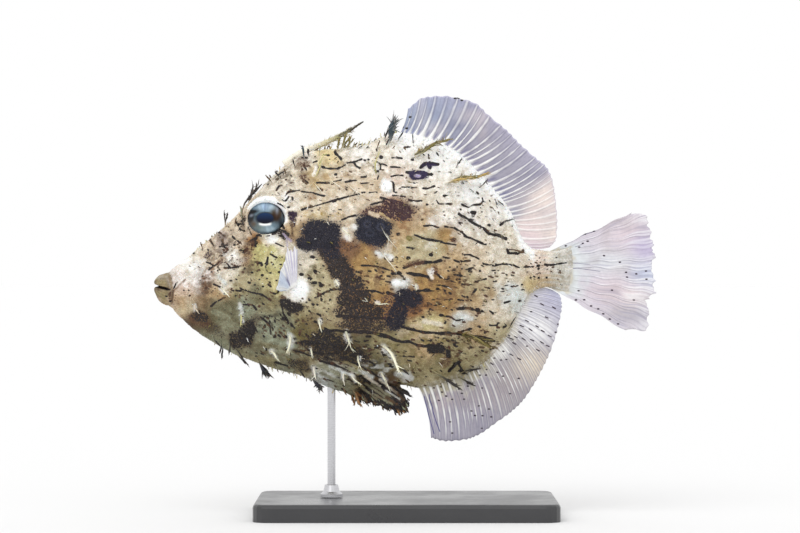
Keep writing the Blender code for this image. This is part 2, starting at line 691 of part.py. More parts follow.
def orbit_rims(finish, group):
    """The raised rings of skin round both eyes."""
    for side in (-1, 1):
        centre, turn = eye_pose(side)
        bm = bmesh.new()
        loops = []
        for step in range(RIM_STEPS):
            around = 2 * math.pi * (step + RIM_OFFSET) / RIM_STEPS
            out = Vector((math.cos(around), 0, math.sin(around)))
            loop = []
            for corner in range(RIM_SIDES):
                angle = 2 * math.pi * (corner + 0.5) / RIM_SIDES
                local = out * (RIM_RADIUS + RIM_THICKNESS * math.cos(angle))
                local.y = side * RIM_STAND + RIM_BREADTH * math.sin(angle)
                loop.append(bm.verts.new(place(*(Vector(centre) + turn @ local))))
            loops.append(loop)
        for index, loop in enumerate(loops):
            following = loops[(index + 1) % RIM_STEPS]
            for corner in range(RIM_SIDES):
                after = (corner + 1) % RIM_SIDES
                bm.faces.new((loop[corner], loop[after], following[after], following[corner]))
        mesh_object("orbit_rim", bm, finish, group)


def spine_groove(finish, group):
    points, radii = spine_path()
    stem("spine_groove", points, [radius + GAP for radius in radii], 10, finish, group)


def lips(finish, group):
    """Two fleshy lips round a slightly open mouth, cut from one rounded form."""
    front = HEAD_FRONT - GAP
    seam = math.tan(math.radians(SEAM_FALL))
    for name, side in (("upper_lip", 1), ("lower_lip", -1)):
        bm = bmesh.new()
        bmesh.ops.create_uvsphere(bm, u_segments=20, v_segments=14, radius=1.0)
        for vert in bm.verts:
            near_seam = math.exp(-(vert.co.z / LIP_PINCH_WIDTH) ** 2)
            vert.co.x *= 1 - LIP_PINCH * near_seam
            vert.co.y *= 1 - LIP_PINCH / 2 * near_seam
        radii = Matrix.Diagonal((MOUTH_LENGTH * MM, LIP_HALF_WIDTH * MM, LIP_HALF_HEIGHT * MM, 1.0))
        matrix = Matrix.Translation(place(front, 0, MOUTH_LEVEL)) @ radii
        bmesh.ops.transform(bm, matrix=matrix, verts=bm.verts)
        cut(bm, place(front, 0, 0), Vector((1, 0, 0)))
        tilt = Vector((seam * side, 0, side)).normalized()
        cut(bm, place(front - MOUTH_LENGTH, 0, MOUTH_LEVEL + side * LIP_SEAM / 2), -tilt)
        mesh_object(name, bm, finish, group)


def cut(bm, at, away):
    """Cut off what lies on the away side of a plane and close the cut."""
    whole = bm.verts[:] + bm.edges[:] + bm.faces[:]
    result = bmesh.ops.bisect_plane(bm, geom=whole, plane_co=at, plane_no=away, clear_outer=True)
    rim = [item for item in result["geom_cut"] if isinstance(item, bmesh.types.BMEdge)]
    bmesh.ops.holes_fill(bm, edges=rim, sides=0)


def eyes(finish, group):
    for name, side in (("eye_left", -1), ("eye_right", 1)):
        centre, turn = eye_pose(side)
        ellipsoid(name, centre, (EYE_RADIUS, EYE_HALF_DEPTH, EYE_RADIUS), turn, finish, group, 18, 10)


def cylinder(name, radius, foot, top, sides, finish, group):
    """An upright cylinder on the rod's line, between two heights above the floor."""
    bm = bmesh.new()
    bmesh.ops.create_cone(bm, cap_ends=True, segments=sides, radius1=radius * MM, radius2=radius * MM,
                          depth=(top - foot) * MM)
    middle = Vector((ROD_X * MM, 0, (foot + top) / 2 * MM))
    bmesh.ops.translate(bm, vec=middle, verts=bm.verts)
    return mesh_object(name, bm, finish, group)


def stand(finish, rod_finish, group):
    """A plain bevelled plate, and the rod and collar that carry the fish above it."""
    bm = bmesh.new()
    bmesh.ops.create_cube(bm, size=1.0)
    scale = Matrix.Diagonal((BASE_LENGTH * MM, BASE_DEPTH * MM, BASE_THICKNESS * MM, 1.0))
    bmesh.ops.transform(bm, matrix=Matrix.Translation((0, 0, BASE_THICKNESS / 2 * MM)) @ scale, verts=bm.verts)
    upright = [edge for edge in bm.edges if abs(edge.verts[0].co.z - edge.verts[1].co.z) > MM]
    bmesh.ops.bevel(bm, geom=upright, offset=BASE_CORNER * MM, segments=4, affect="EDGES", profile=0.5)
    rim = [edge for edge in bm.edges if is_top_rim(edge)]
    bmesh.ops.bevel(bm, geom=rim, offset=BASE_BEVEL * MM, segments=3, affect="EDGES", profile=0.5)
    plate = mesh_object("stand_base", bm, finish, group)
    holes = new_collection("base_holes")
    hole_foot = BASE_THICKNESS - HOLE_DEPTH
    cylinder("rod_hole", ROD_RADIUS + GAP, hole_foot, BASE_THICKNESS + CUT_MARGIN, 20, finish, holes)
    boolean(plate, "DIFFERENCE", holes)
    rod_top = AXIS_HEIGHT + float(belly(ROD_X)) + SOCKET_DEPTH - GAP
    cylinder("stand_rod", ROD_RADIUS, hole_foot + GAP, rod_top, 16, rod_finish, group)
    collar(rod_finish, group)


def is_top_rim(edge):
    """True for the upper outline of the base plate."""
    level = all(abs(vert.co.z - BASE_THICKNESS * MM) < 1e-6 for vert in edge.verts)
    return level and len(edge.link_faces) == 2 and any(abs(face.normal.z) < 0.5 for face in edge.link_faces)


def collar(finish, group):
    """A turned ring round the foot of the rod."""
    inner = ROD_RADIUS + GAP
    foot = BASE_THICKNESS + GAP
    profile = ((COLLAR_RADIUS, foot), (COLLAR_RADIUS, foot + 1.2), (COLLAR_RADIUS - 1.2, foot + 2.2),
               (inner + 0.8, foot + COLLAR_HEIGHT - 0.3), (inner + 0.5, foot + COLLAR_HEIGHT),
               (inner, foot + COLLAR_HEIGHT), (inner, foot))
    bm = bmesh.new()
    sides = 20
    loops = []
    for step in range(sides):
        turn = 2 * math.pi * step / sides
        loops.append([bm.verts.new(Vector(((ROD_X + radius * math.cos(turn)) * MM, radius * math.sin(turn) * MM,
                                           height * MM))) for radius, height in profile])
    for index, loop in enumerate(loops):
        following = loops[(index + 1) % sides]
        for corner in range(len(profile)):
            after = (corner + 1) % len(profile)
            bm.faces.new((loop[corner], loop[after], following[after], following[corner]))
    mesh_object("stand_collar", bm, finish, group)


def main():
    clear_scene()
    fish = new_collection("leatherjacket")
    skin = material("mottled_skin", (0.62, 0.56, 0.42), 0.6)
    fin = material("fin_membrane", (0.66, 0.66, 0.74), 0.4)
    lip = material("lip_skin", (0.42, 0.32, 0.25), 0.5)
    iris = material("eye", (0.35, 0.47, 0.52), 0.1)
    spine = material("spine", (0.16, 0.15, 0.10), 0.5)
    black = material("stand_black", (0.03, 0.03, 0.032), 0.35)
    steel = material("stand_steel", (0.6, 0.6, 0.62), 0.25, 1.0)

    head = body_piece("head", spaced(HEAD_FRONT, HEAD_REAR - GAP / 2, 22), skin, fish)
    joined = new_collection("head_joined")
    orbit_rims(skin, joined)
    boolean(head, "UNION", joined)
    cutters = new_collection("head_cutters")
    socket_cutters(skin, cutters)
    spine_groove(skin, cutters)
    boolean(head, "DIFFERENCE", cutters)
    dress(head, in_head, skin)

    trunk = body_piece("trunk", spaced(HEAD_REAR + GAP / 2, TRUNK_REAR - GAP / 2, 38, 1.25), skin, fish)
    cutters = new_collection("trunk_cutters")
    spine_groove(skin, cutters)
    surface = AXIS_HEIGHT + float(belly(ROD_X))
    cylinder("rod_socket", ROD_RADIUS + GAP, surface - CUT_MARGIN, surface + SOCKET_DEPTH, 16, skin, cutters)
    boolean(trunk, "DIFFERENCE", cutters)
    dress(trunk, lambda x, height: not in_head(x, height), skin)

    body_piece("tail_stalk", spaced(TRUNK_REAR + GAP / 2, STALK_REAR, 6), skin, fish)
    eyes(iris, fish)
    lips(lip, fish)
    points, radii = spine_path()
    rod = stem("first_dorsal_spine", points, radii, 8, spine, fish)
    flat_tassels(rod, SPINE_TASSELS, spine)

    margin_fin("soft_dorsal_fin", DORSAL_KEYS, back, 1, DORSAL_RAYS, fin, fish, bow=-0.05, sway=1.0, waves=7.0)
    margin_fin("anal_fin", ANAL_KEYS, belly, -1, ANAL_RAYS, fin, fish, bow=0.05, sway=1.0, waves=6.0)
    flap = margin_fin("pelvic_flap", FLAP_KEYS, belly, -1, FLAP_FOLDS, skin, fish, root=1.3, rim=0.4, lift=0.3,
                      sway=0.7, waves=9.0, scallop=1.2)
    flat_tassels(flap, FLAP_TASSELS, skin)
    caudal_fin(fin, fish)
    for name, side in (("pectoral_fin_left", -1), ("pectoral_fin_right", 1)):
        pectoral_fin(name, side, fin, fish)
    stand(black, steel, fish)


main()
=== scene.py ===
"""The looks of a prickly leatherjacket, a tasselled filefish, on its display stand.

One dense skin stands in for the flesh, with papillae and branched tassels as its coat, and
ribbed see-through sheets for the fins. Shapes are worked out in millimetres, with x from snout
to tail, the left side at -y and heights from the fish's own long axis, as the part's source has
them. Names that end in _PX hold places and sizes in the 800 by 533 photograph.
"""
import math
import random
from collections import namedtuple

import bpy
import numpy as np
from mathutils import Matrix


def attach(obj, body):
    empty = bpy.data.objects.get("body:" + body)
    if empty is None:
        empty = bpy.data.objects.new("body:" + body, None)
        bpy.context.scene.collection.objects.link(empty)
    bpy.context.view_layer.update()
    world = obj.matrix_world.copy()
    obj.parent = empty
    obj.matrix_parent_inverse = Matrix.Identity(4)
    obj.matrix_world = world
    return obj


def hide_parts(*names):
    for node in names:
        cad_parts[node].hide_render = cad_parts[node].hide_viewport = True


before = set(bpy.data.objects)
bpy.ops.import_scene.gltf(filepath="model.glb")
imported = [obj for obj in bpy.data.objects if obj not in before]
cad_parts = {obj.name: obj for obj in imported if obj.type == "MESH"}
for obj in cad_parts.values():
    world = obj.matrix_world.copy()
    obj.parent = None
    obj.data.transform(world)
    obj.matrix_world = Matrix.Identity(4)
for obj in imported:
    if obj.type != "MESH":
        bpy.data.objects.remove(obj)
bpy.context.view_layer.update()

MM = 0.001

# The photograph's frame: the pixel of x = 0 and height = 0, and millimetres to a pixel
AXIS_PX = (406.5, 250.0)
CENTRE_PX = (400.0, 266.5)
PIXEL = 0.4
CENTRE_X = (CENTRE_PX[0] - AXIS_PX[0]) * PIXEL
CENTRE_HEIGHT = (AXIS_PX[1] - CENTRE_PX[1]) * PIXEL
CAMERA_DISTANCE = 1200.0
SENSOR = 36.0

# The part's own sizes: lines of the body as x with height or half width, and each swelling or
# hollow as place, reach and depth; the typical section is half its width and half its height
AXIS_HEIGHT = 106.0
HEAD_FRONT = -95.0
HEAD_REAR = -45.0
STALK_REAR = 66.0
SKIN_REAR = STALK_REAR + 1.4
GILL_SLANT = 0.135
SLANT_END = -5.0
BACK_LINE = (
    (-95.0, -6.6), (-88.0, -3.6), (-82.0, 1.4), (-74.0, 8.0), (-64.0, 17.6), (-54.5, 28.0), (-45.0, 36.0),
    (-37.0, 39.6), (-24.0, 40.6), (-16.0, 42.0), (-8.0, 45.6), (-2.5, 46.8), (9.0, 44.6), (20.0, 39.2),
    (28.5, 31.2), (36.0, 23.0), (41.5, 15.5), (44.5, 8.0), (47.5, 2.8), (52.0, -0.1), (58.0, -0.6),
    (66.0, 1.2),
)
BELLY_LINE = (
    (-95.0, -22.0), (-90.5, -26.4), (-84.0, -32.2), (-76.0, -37.4), (-66.5, -42.2), (-55.0, -46.4),
    (-42.5, -50.0), (-33.0, -54.0), (-26.0, -56.2), (-16.0, -55.2), (-2.0, -53.8), (5.0, -55.0),
    (12.0, -53.6), (20.0, -51.0), (32.0, -44.2), (40.0, -34.8), (43.5, -28.0), (46.5, -21.6),
    (50.0, -16.8), (55.5, -14.8), (66.0, -17.0),
)
HALF_WIDTHS = (
    (-95.0, 4.2), (-88.0, 5.4), (-80.0, 7.2), (-70.0, 10.0), (-60.0, 12.6), (-50.0, 14.8), (-40.0, 16.3),
    (-30.0, 16.8), (-15.0, 16.4), (0.0, 15.0), (15.0, 12.8), (30.0, 9.6), (42.0, 6.2), (50.0, 4.4),
    (58.0, 3.4), (66.0, 2.6),
)
BACK_RIDGE = ((-95.0, 2.4), (-60.0, 2.6), (-30.0, 1.8), (0.0, 1.2), (66.0, 1.2))
BELLY_RIDGE = ((-95.0, 2.0), (-60.0, 1.6), (-20.0, 1.5), (10.0, 1.2), (66.0, 1.2))
BACK_KEEL = 1.1
BELLY_KEEL = 1.15
TYPICAL_SECTION = (14, 46)
RELIEF = (
    (-55.8, 13.6, 10.0, 9.0, 1.7), (-80.0, -4.0, 7.0, 5.0, -0.7), (-72.0, -18.0, 9.0, 8.0, 0.7),
    (-50.0, -18.0, 5.0, 12.0, 0.6), (-43.0, -15.5, 4.0, 4.0, 0.9), (-24.0, -46.0, 14.0, 5.0, -0.8),
)

# Eye, mouth, nostrils and gill opening; openings are a middle, then half sizes
EYE_AT = (-55.8, 13.6)
EYE_RADIUS = 7.9
EYE_HALF_DEPTH = 4.5
EYE_SINK = 1.7
EYE_UP_TILT = 14.0
EYE_FORWARD_TILT = 7.0
EYE_OPENING = (0.6, -1.75, 7.4, 6.05)
PUPIL = (0.4, -2.2, 3.5, 2.25)
# A painted reflection: the blue that the pupil gains towards its top
PUPIL_SHEEN = np.array((0.006, 0.03, 0.09))
EYE_RINGS = 90
EYE_SEGMENTS = 128
MOUTH_FRONT = -100.7
MOUTH_LEVEL = -14.3
MOUTH_HALF_HEIGHT = 7.7
MOUTH_HALF_WIDTH = 4.3
SEAM_FALL = 14.0
NOSTRILS = ((-66.4, 10.4), (-64.6, 7.6))
GILL_SLIT = ((-47.2, -4.0), (-48.4, -10.5), (-51.0, -17.0))
LIP_REAR = -94.4
SNOUT_DROP = (-97.0, 5.0, 2.9)
WART_SIZE = 1.15
WART_HEIGHT = 0.13

# Fins and flap: a key ray is base x, then its tip's x and height; the tail fin's is its tip alone,
# and a pectoral fin's is its tip's place in the photograph and its distance from the skin
DORSAL_KEYS = (
    (-2.4, 0.6, 56.6), (2.2, 7.0, 61.2), (8.2, 14.6, 61.8), (16.2, 27.0, 59.2), (20.2, 33.0, 54.0),
    (23.8, 40.6, 47.6), (29.0, 45.6, 42.4), (33.4, 51.4, 37.2), (37.4, 56.2, 33.0), (39.8, 58.6, 27.2),
    (42.2, 59.6, 21.0), (43.8, 60.4, 11.0), (47.0, 60.0, 4.6), (51.0, 57.6, 1.2),
)
ANAL_KEYS = (
    (5.0, 9.8, -75.2), (12.2, 15.8, -76.6), (18.2, 23.4, -76.0), (23.4, 29.0, -74.0), (28.2, 35.4, -69.6),
    (32.6, 41.8, -65.0), (36.2, 46.4, -60.6), (39.0, 50.4, -54.8), (41.4, 54.4, -47.6),
    (43.4, 58.0, -39.6), (45.8, 60.8, -30.4), (48.2, 62.2, -22.4), (51.4, 61.4, -18.2),
    (55.0, 58.8, -16.2),
)
CAUDAL_KEYS = (
    (90.6, 15.2), (96.4, 13.8), (98.6, 8.0), (99.6, 2.4), (100.4, -2.6), (99.4, -7.4), (100.2, -12.0),
    (100.2, -17.0), (97.0, -20.8), (98.0, -25.2), (95.6, -32.2), (88.2, -32.4),
)
CAUDAL_FORE = 60.0
CAUDAL_WRAP = 0.16
CAUDAL_SINK = 3.0
DORSAL_RAYS = 33
ANAL_RAYS = 40
CAUDAL_RAYS = 12
PECTORAL_RAYS = 11
PECTORAL_BASE_PX = ((297.0, 283.5), (286.0, 289.5))
PECTORAL_TIPS_PX = (
    (297.6, 251.0, 1.8), (294.0, 247.5, 2.4), (289.0, 248.5, 3.2), (286.0, 254.0, 4.0),
    (283.4, 266.0, 4.8), (279.0, 278.5, 4.6), (277.0, 288.5, 3.4), (280.0, 291.5, 2.2),
)
FLAP_KEYS = (
    (-25.0, -22.6, -58.4), (-20.0, -18.2, -60.6), (-14.0, -12.6, -61.8), (-9.0, -7.4, -63.6),
    (-5.5, -1.6, -65.0), (-3.2, 1.0, -62.0),
)
FLAP_FOLDS = 7
SIDEWAYS = np.array((0.0, 1.0, 0.0))

# The first dorsal spine's x, height and radius, and where its root lies on the skin's unwrap
SPINE_KEYS = (
    (-49.0, 34.2, 1.5), (-42.0, 39.0, 1.3), (-34.0, 42.2, 1.1), (-26.0, 46.0, 0.85), (-17.2, 51.4, 0.25),
)
SPINE_PATCH = (0.3, 0.02)

# Mesh density of skin, spine and fins; a fin's grid is points along it and out of it, and the
# margin's steps find where a leaning section meets the back or belly line
DORSAL_GRID = (24 * 16 + 1, 70)
ANAL_GRID = (39 * 11 + 1, 64)
CAUDAL_GRID = (11 * 30 + 1, 80)
PECTORAL_GRID = (10 * 14 + 1, 48)
SPINE_STEPS = 40
MARGIN_STEPS = 30
STATION_STEP = 0.45
SIDE_POINTS = 236
CAP_RINGS = 18
TOP_POINTS = 7
FLAP_POINTS = 41

# Colours as red, green and blue from 0 to 255
PALETTE = {
    "white": (250, 250, 246), "frost": (220, 227, 228), "bone": (233, 228, 215), "chalk": (241, 237, 236),
    "cream": (224, 211, 190), "blush": (226, 207, 194), "straw": (208, 190, 144), "tan": (196, 172, 134),
    "ochre": (176, 144, 92), "mustard": (186, 160, 92), "lemon": (214, 206, 158),
    "khaki": (156, 147, 110), "sand": (196, 187, 154), "celadon": (154, 162, 142),
    "taupe": (170, 158, 157), "butter": (230, 214, 164), "bark": (140, 118, 88), "lichen": (120, 118, 92),
    "ash": (202, 204, 200), "dun": (98, 80, 72), "sage": (146, 148, 124), "moss": (106, 100, 72),
    "olive": (120, 110, 56), "rust": (150, 108, 66), "umber": (88, 66, 42), "brown": (72, 44, 26),
    "maroon": (58, 32, 36), "soot": (26, 20, 18), "navy": (15, 13, 28), "ink": (12, 14, 32),
    "violet": (36, 24, 60), "plum": (44, 22, 44), "lavender": (196, 192, 216), "slate": (120, 126, 156),
    "steel": (146, 144, 168), "haze": (214, 208, 216), "shell": (236, 222, 214), "petal": (226, 206, 210),
    "sky": (196, 212, 234), "lilac": (178, 166, 206), "indigo": (74, 70, 130), "pearl": (238, 238, 240),
    "mist": (162, 159, 173), "gloom": (112, 110, 136), "veil": (170, 165, 168), "sienna": (124, 92, 66),
    "amber": (168, 120, 62), "dusk": (34, 26, 24), "teal": (44, 62, 72), "lime": (208, 204, 144),
    "ivory": (242, 239, 216),
}

# What shows between the dark grains of a patch of each colour
GAPS = {
    "dusk": "sienna", "navy": "plum", "ink": "navy", "brown": "sienna", "soot": "umber", "maroon": "rust",
    "plum": "umber", "olive": "olive", "rust": "rust", "violet": "violet", "moss": "moss",
}

# Ground colours of the skin: place, reach and colour, blended by distance
# The white ones along the upper back are partly the fish's pale colour and partly painted highlight of the
# light from above; the small white one at (236, 257) is a painted highlight
TONES_PX = (
    (440, 160, 26, "white"), (470, 188, 24, "white"), (402, 148, 20, "white"), (498, 212, 20, "bone"),
    (520, 236, 16, "bone"), (378, 148, 14, "bone"), (352, 146, 14, "bone"), (424, 190, 16, "bone"),
    (332, 155, 11, "butter"), (305, 160, 12, "bone"), (300, 192, 14, "bone"), (316, 178, 12, "straw"),
    (320, 198, 14, "cream"), (344, 186, 16, "cream"), (370, 180, 10, "cream"), (402, 176, 14, "blush"),
    (345, 205, 14, "cream"), (318, 212, 8, "straw"), (300, 232, 8, "tan"), (424, 214, 9, "tan"),
    (272, 182, 12, "bone"), (246, 205, 9, "cream"), (288, 198, 7, "white"), (176, 268, 12, "chalk"),
    (192, 258, 12, "bone"), (164, 284, 6, "brown"), (198, 276, 10, "chalk"), (182, 296, 10, "blush"),
    (188, 306, 7, "sand"), (206, 286, 6, "bark"), (214, 252, 10, "cream"), (208, 318, 9, "moss"),
    (216, 292, 7, "tan"), (226, 278, 9, "bone"), (236, 257, 4, "white"), (182, 300, 8, "tan"),
    (201, 303, 7, "bark"), (194, 319, 7, "umber"), (254, 239, 5, "amber"), (246, 256, 6, "tan"),
    (266, 250, 9, "lime"), (273, 266, 11, "lime"), (256, 270, 7, "khaki"), (284, 246, 7, "bone"),
    (236, 244, 8, "cream"), (240, 228, 8, "cream"), (222, 244, 6, "taupe"), (269, 284, 9, "lemon"),
    (244, 280, 9, "sand"), (236, 290, 7, "khaki"), (256, 292, 7, "lichen"), (281, 326, 8, "moss"),
    (270, 238, 6, "white"), (222, 306, 9, "lichen"), (232, 312, 8, "lichen"), (247, 311, 8, "celadon"),
    (266, 306, 10, "khaki"), (258, 348, 9, "sage"), (224, 328, 10, "sage"), (268, 334, 14, "celadon"),
    (262, 318, 9, "sage"), (282, 322, 9, "sage"), (286, 348, 12, "sage"), (304, 331, 10, "olive"),
    (306, 262, 9, "bone"), (322, 272, 10, "sand"), (320, 302, 12, "sand"), (310, 318, 11, "khaki"),
    (299, 289, 8, "white"), (366, 262, 11, "ochre"), (388, 262, 12, "straw"), (376, 288, 12, "ochre"),
    (350, 234, 6, "cream"), (370, 280, 9, "straw"), (352, 250, 7, "sienna"), (391, 243, 6, "tan"),
    (377, 247, 5, "rust"), (400, 268, 9, "tan"), (389, 266, 7, "ochre"), (414, 252, 9, "sand"),
    (384, 252, 6, "frost"), (432, 248, 10, "sand"), (432, 288, 12, "ochre"), (456, 290, 14, "ochre"),
    (476, 286, 12, "sand"), (454, 264, 10, "tan"), (448, 237, 7, "ochre"), (478, 260, 12, "cream"),
    (504, 250, 13, "bone"), (482, 304, 12, "tan"), (424, 306, 9, "rust"), (446, 306, 8, "ochre"),
    (430, 323, 8, "lemon"), (400, 344, 12, "khaki"), (426, 346, 14, "tan"), (450, 346, 9, "khaki"),
    (472, 353, 9, "sand"), (441, 364, 7, "moss"), (476, 334, 10, "tan"), (496, 309, 11, "bone"),
    (510, 296, 10, "frost"), (498, 332, 9, "sand"), (499, 350, 6, "chalk"), (474, 356, 10, "khaki"),
    (456, 364, 8, "khaki"), (442, 370, 11, "khaki"), (414, 372, 12, "khaki"), (430, 382, 9, "sand"),
    (330, 350, 12, "khaki"), (352, 352, 12, "moss"), (372, 362, 10, "moss"), (388, 350, 10, "khaki"),
    (328, 373, 11, "frost"), (340, 380, 9, "sage"), (352, 372, 8, "khaki"), (382, 392, 12, "umber"),
    (536, 262, 13, "blush"), (500, 268, 12, "bone"), (305, 151, 8, "white"), (352, 152, 9, "white"),
    (556, 256, 11, "bone"), (524, 264, 12, "bone"), (542, 262, 8, "shell"), (530, 282, 8, "straw"),
    (546, 281, 7, "tan"), (560, 283, 5, "tan"), (464, 318, 8, "frost"), (402, 228, 7, "tan"),
    (400, 283, 7, "frost"), (312, 366, 10, "khaki"), (264, 356, 10, "khaki"), (575, 260, 8, "haze"),
)

# Pale spots that glow: place, radius and strength
# The broad ones along the upper back are partly painted highlight, and the one at (241, 307) on the lower
# cheek's swelling is a painted highlight
GLOWS_PX = (
    (299, 289, 9.5, 1.0), (386, 185, 6.5, 0.9), (397, 283, 6, 0.7), (405, 283, 5, 0.6),
    (466, 317, 6, 0.4), (431, 272, 4, 0.5), (381, 253, 5, 0.5), (390, 256, 5, 0.45), (347, 238, 5, 0.45),
    (352, 228, 5, 0.45), (291, 341, 4.5, 0.5), (347, 338, 4.5, 0.5), (385, 350, 6, 0.55),
    (393, 355, 5, 0.5), (405, 376, 7, 0.45), (434, 222, 9, 0.42), (430, 245, 9, 0.3), (478, 226, 9, 0.3),
    (241, 307, 5, 0.3), (272, 240, 6, 0.6), (223, 287, 4.5, 0.45), (272, 262, 12, 0.22),
    (441, 160, 24, 0.5), (474, 188, 22, 0.5), (500, 212, 17, 0.42), (408, 148, 17, 0.45),
    (362, 152, 14, 0.42), (286, 198, 6, 0.5), (186, 260, 11, 0.42), (196, 268, 11, 0.4),
    (478, 206, 14, 0.3),
)

# Dark patches: place, half sizes, tilt in degrees, how boxy, density and colour
PATCHES_PX = (
    (320.5, 236, 21, 16.5, 0, 4.0, 1.0, "navy"), (330, 251, 13, 8, 30, 2.0, 0.9, "navy"),
    (304, 243, 8, 7, 30, 2.0, 0.95, "navy"), (348, 245, 9, 6, 20, 2.0, 0.62, "brown"),
    (333, 257, 19, 10, 34, 2.0, 0.86, "dusk"), (340, 269, 20, 11, 44, 2.0, 0.9, "dusk"),
    (351, 284, 15, 13, 60, 2.0, 0.88, "dusk"), (354, 299, 19, 13, 0, 2.0, 0.87, "dusk"),
    (360, 312, 29, 10, 0, 2.0, 0.84, "dusk"), (364, 325, 30, 9, 0, 2.0, 0.74, "dusk"),
    (316, 322, 14, 8, 0, 2.0, 0.42, "dusk"), (330, 342, 24, 11, 6, 2.4, 0.82, "soot"),
    (318, 350, 22, 8, 20, 2.0, 0.7, "soot"), (350, 354, 22, 10, 22, 2.0, 0.8, "soot"),
    (372, 230, 19, 16, 14, 2.8, 1.0, "ink"), (398, 211, 18, 11, 16, 2.4, 0.86, "maroon"),
    (403, 207, 13, 7, 16, 2.0, 0.5, "plum"), (376, 211, 15, 6, -12, 2.0, 0.82, "maroon"),
    (412, 208, 8, 2.6, 0, 2.0, 0.6, "plum"), (407, 300, 16, 10, -8, 2.2, 0.9, "navy"),
    (397, 316, 10, 17, 24, 2.0, 0.88, "navy"), (389, 308, 11, 13, 0, 2.0, 0.62, "maroon"),
    (413, 310, 8, 5, 0, 2.0, 0.66, "brown"), (346, 374, 9, 5, 22, 2.0, 0.62, "soot"),
    (292.5, 214, 6, 4.4, -14, 2.0, 0.9, "plum"), (293.5, 222, 3.4, 5, 12, 2.0, 0.75, "plum"),
    (284, 234, 7, 6.4, 30, 2.0, 0.9, "soot"), (274, 233, 4, 3, -20, 2.0, 0.8, "soot"),
    (293, 237, 4, 5, 0, 2.0, 0.55, "brown"), (246.5, 333, 9, 15, 10, 2.0, 0.92, "soot"),
    (236, 338, 8, 8, 0, 2.0, 0.82, "soot"), (254, 320, 5, 7, 0, 2.0, 0.5, "soot"),
    (200, 319, 12, 7, 32, 2.0, 0.66, "brown"), (214, 330, 14, 6, 34, 2.0, 0.5, "soot"),
    (291, 305, 13, 6.5, 12, 2.4, 0.92, "soot"), (283, 297, 4, 3, 0, 2.0, 0.7, "brown"),
    (250, 249, 6, 15, 20, 2.0, 0.5, "brown"), (240, 262, 9, 5, -10, 2.0, 0.5, "brown"),
    (256, 240, 5, 2.4, -30, 2.0, 0.42, "brown"), (252, 248, 6, 3.0, -50, 2.0, 0.4, "brown"),
    (299, 365, 16, 6, 28, 2.0, 0.66, "soot"), (306, 331, 10, 7, 0, 2.0, 0.4, "moss"),
    (364, 382, 20, 6, 22, 2.0, 0.66, "soot"), (387, 397, 32, 15, 20, 2.4, 0.92, "soot"),
    (171.5, 298, 3.0, 6.5, -6, 2.0, 0.8, "brown"), (176, 301, 5, 5, 30, 2.0, 0.4, "brown"),
    (238, 342, 13, 7, 22, 2.0, 0.8, "soot"), (446, 361, 5, 8, 20, 2.0, 0.6, "brown"),
    (272, 350, 9, 6, 10, 2.0, 0.4, "moss"), (169, 279, 2.0, 6, -24, 2.0, 0.7, "brown"),
    (200.5, 316.5, 9, 6, 34, 2.0, 0.78, "soot"), (243, 222, 3, 5, 30, 2.0, 0.7, "soot"),
    (209, 254, 5, 3.4, -40, 2.0, 0.62, "plum"), (220, 262, 6, 2.6, -50, 2.0, 0.6, "brown"),
    (227, 250, 4, 2.6, -40, 2.0, 0.5, "brown"), (400, 200, 14, 4, 0, 2.0, 0.5, "maroon"),
    (437, 348.5, 9, 4.0, -8, 2.4, 1.0, "soot"), (448.5, 354, 3, 4.4, 0, 2.4, 1.0, "soot"),
    (455, 240, 4, 2.4, 0, 2.0, 0.7, "brown"), (304, 162, 6, 5, 0, 2.0, 0.6, "brown"),
    (305, 176, 5, 5, 0, 2.0, 0.6, "brown"), (311, 198, 5, 4, 0, 2.0, 0.5, "rust"),
    (322, 189, 3, 2, 0, 2.0, 0.8, "brown"), (407, 239, 4, 3, 0, 2.0, 0.8, "olive"),
    (398, 234.6, 2, 1.6, 0, 2.0, 0.8, "soot"), (414, 263, 11, 4, -10, 2.0, 0.66, "brown"),
    (434, 271, 4, 6, 10, 2.0, 0.66, "brown"), (417.4, 175.4, 9.6, 5.2, 4, 2.6, 1.0, "violet"),
    (429, 165, 8, 2.4, 8, 2.6, 0.8, "violet"),
)
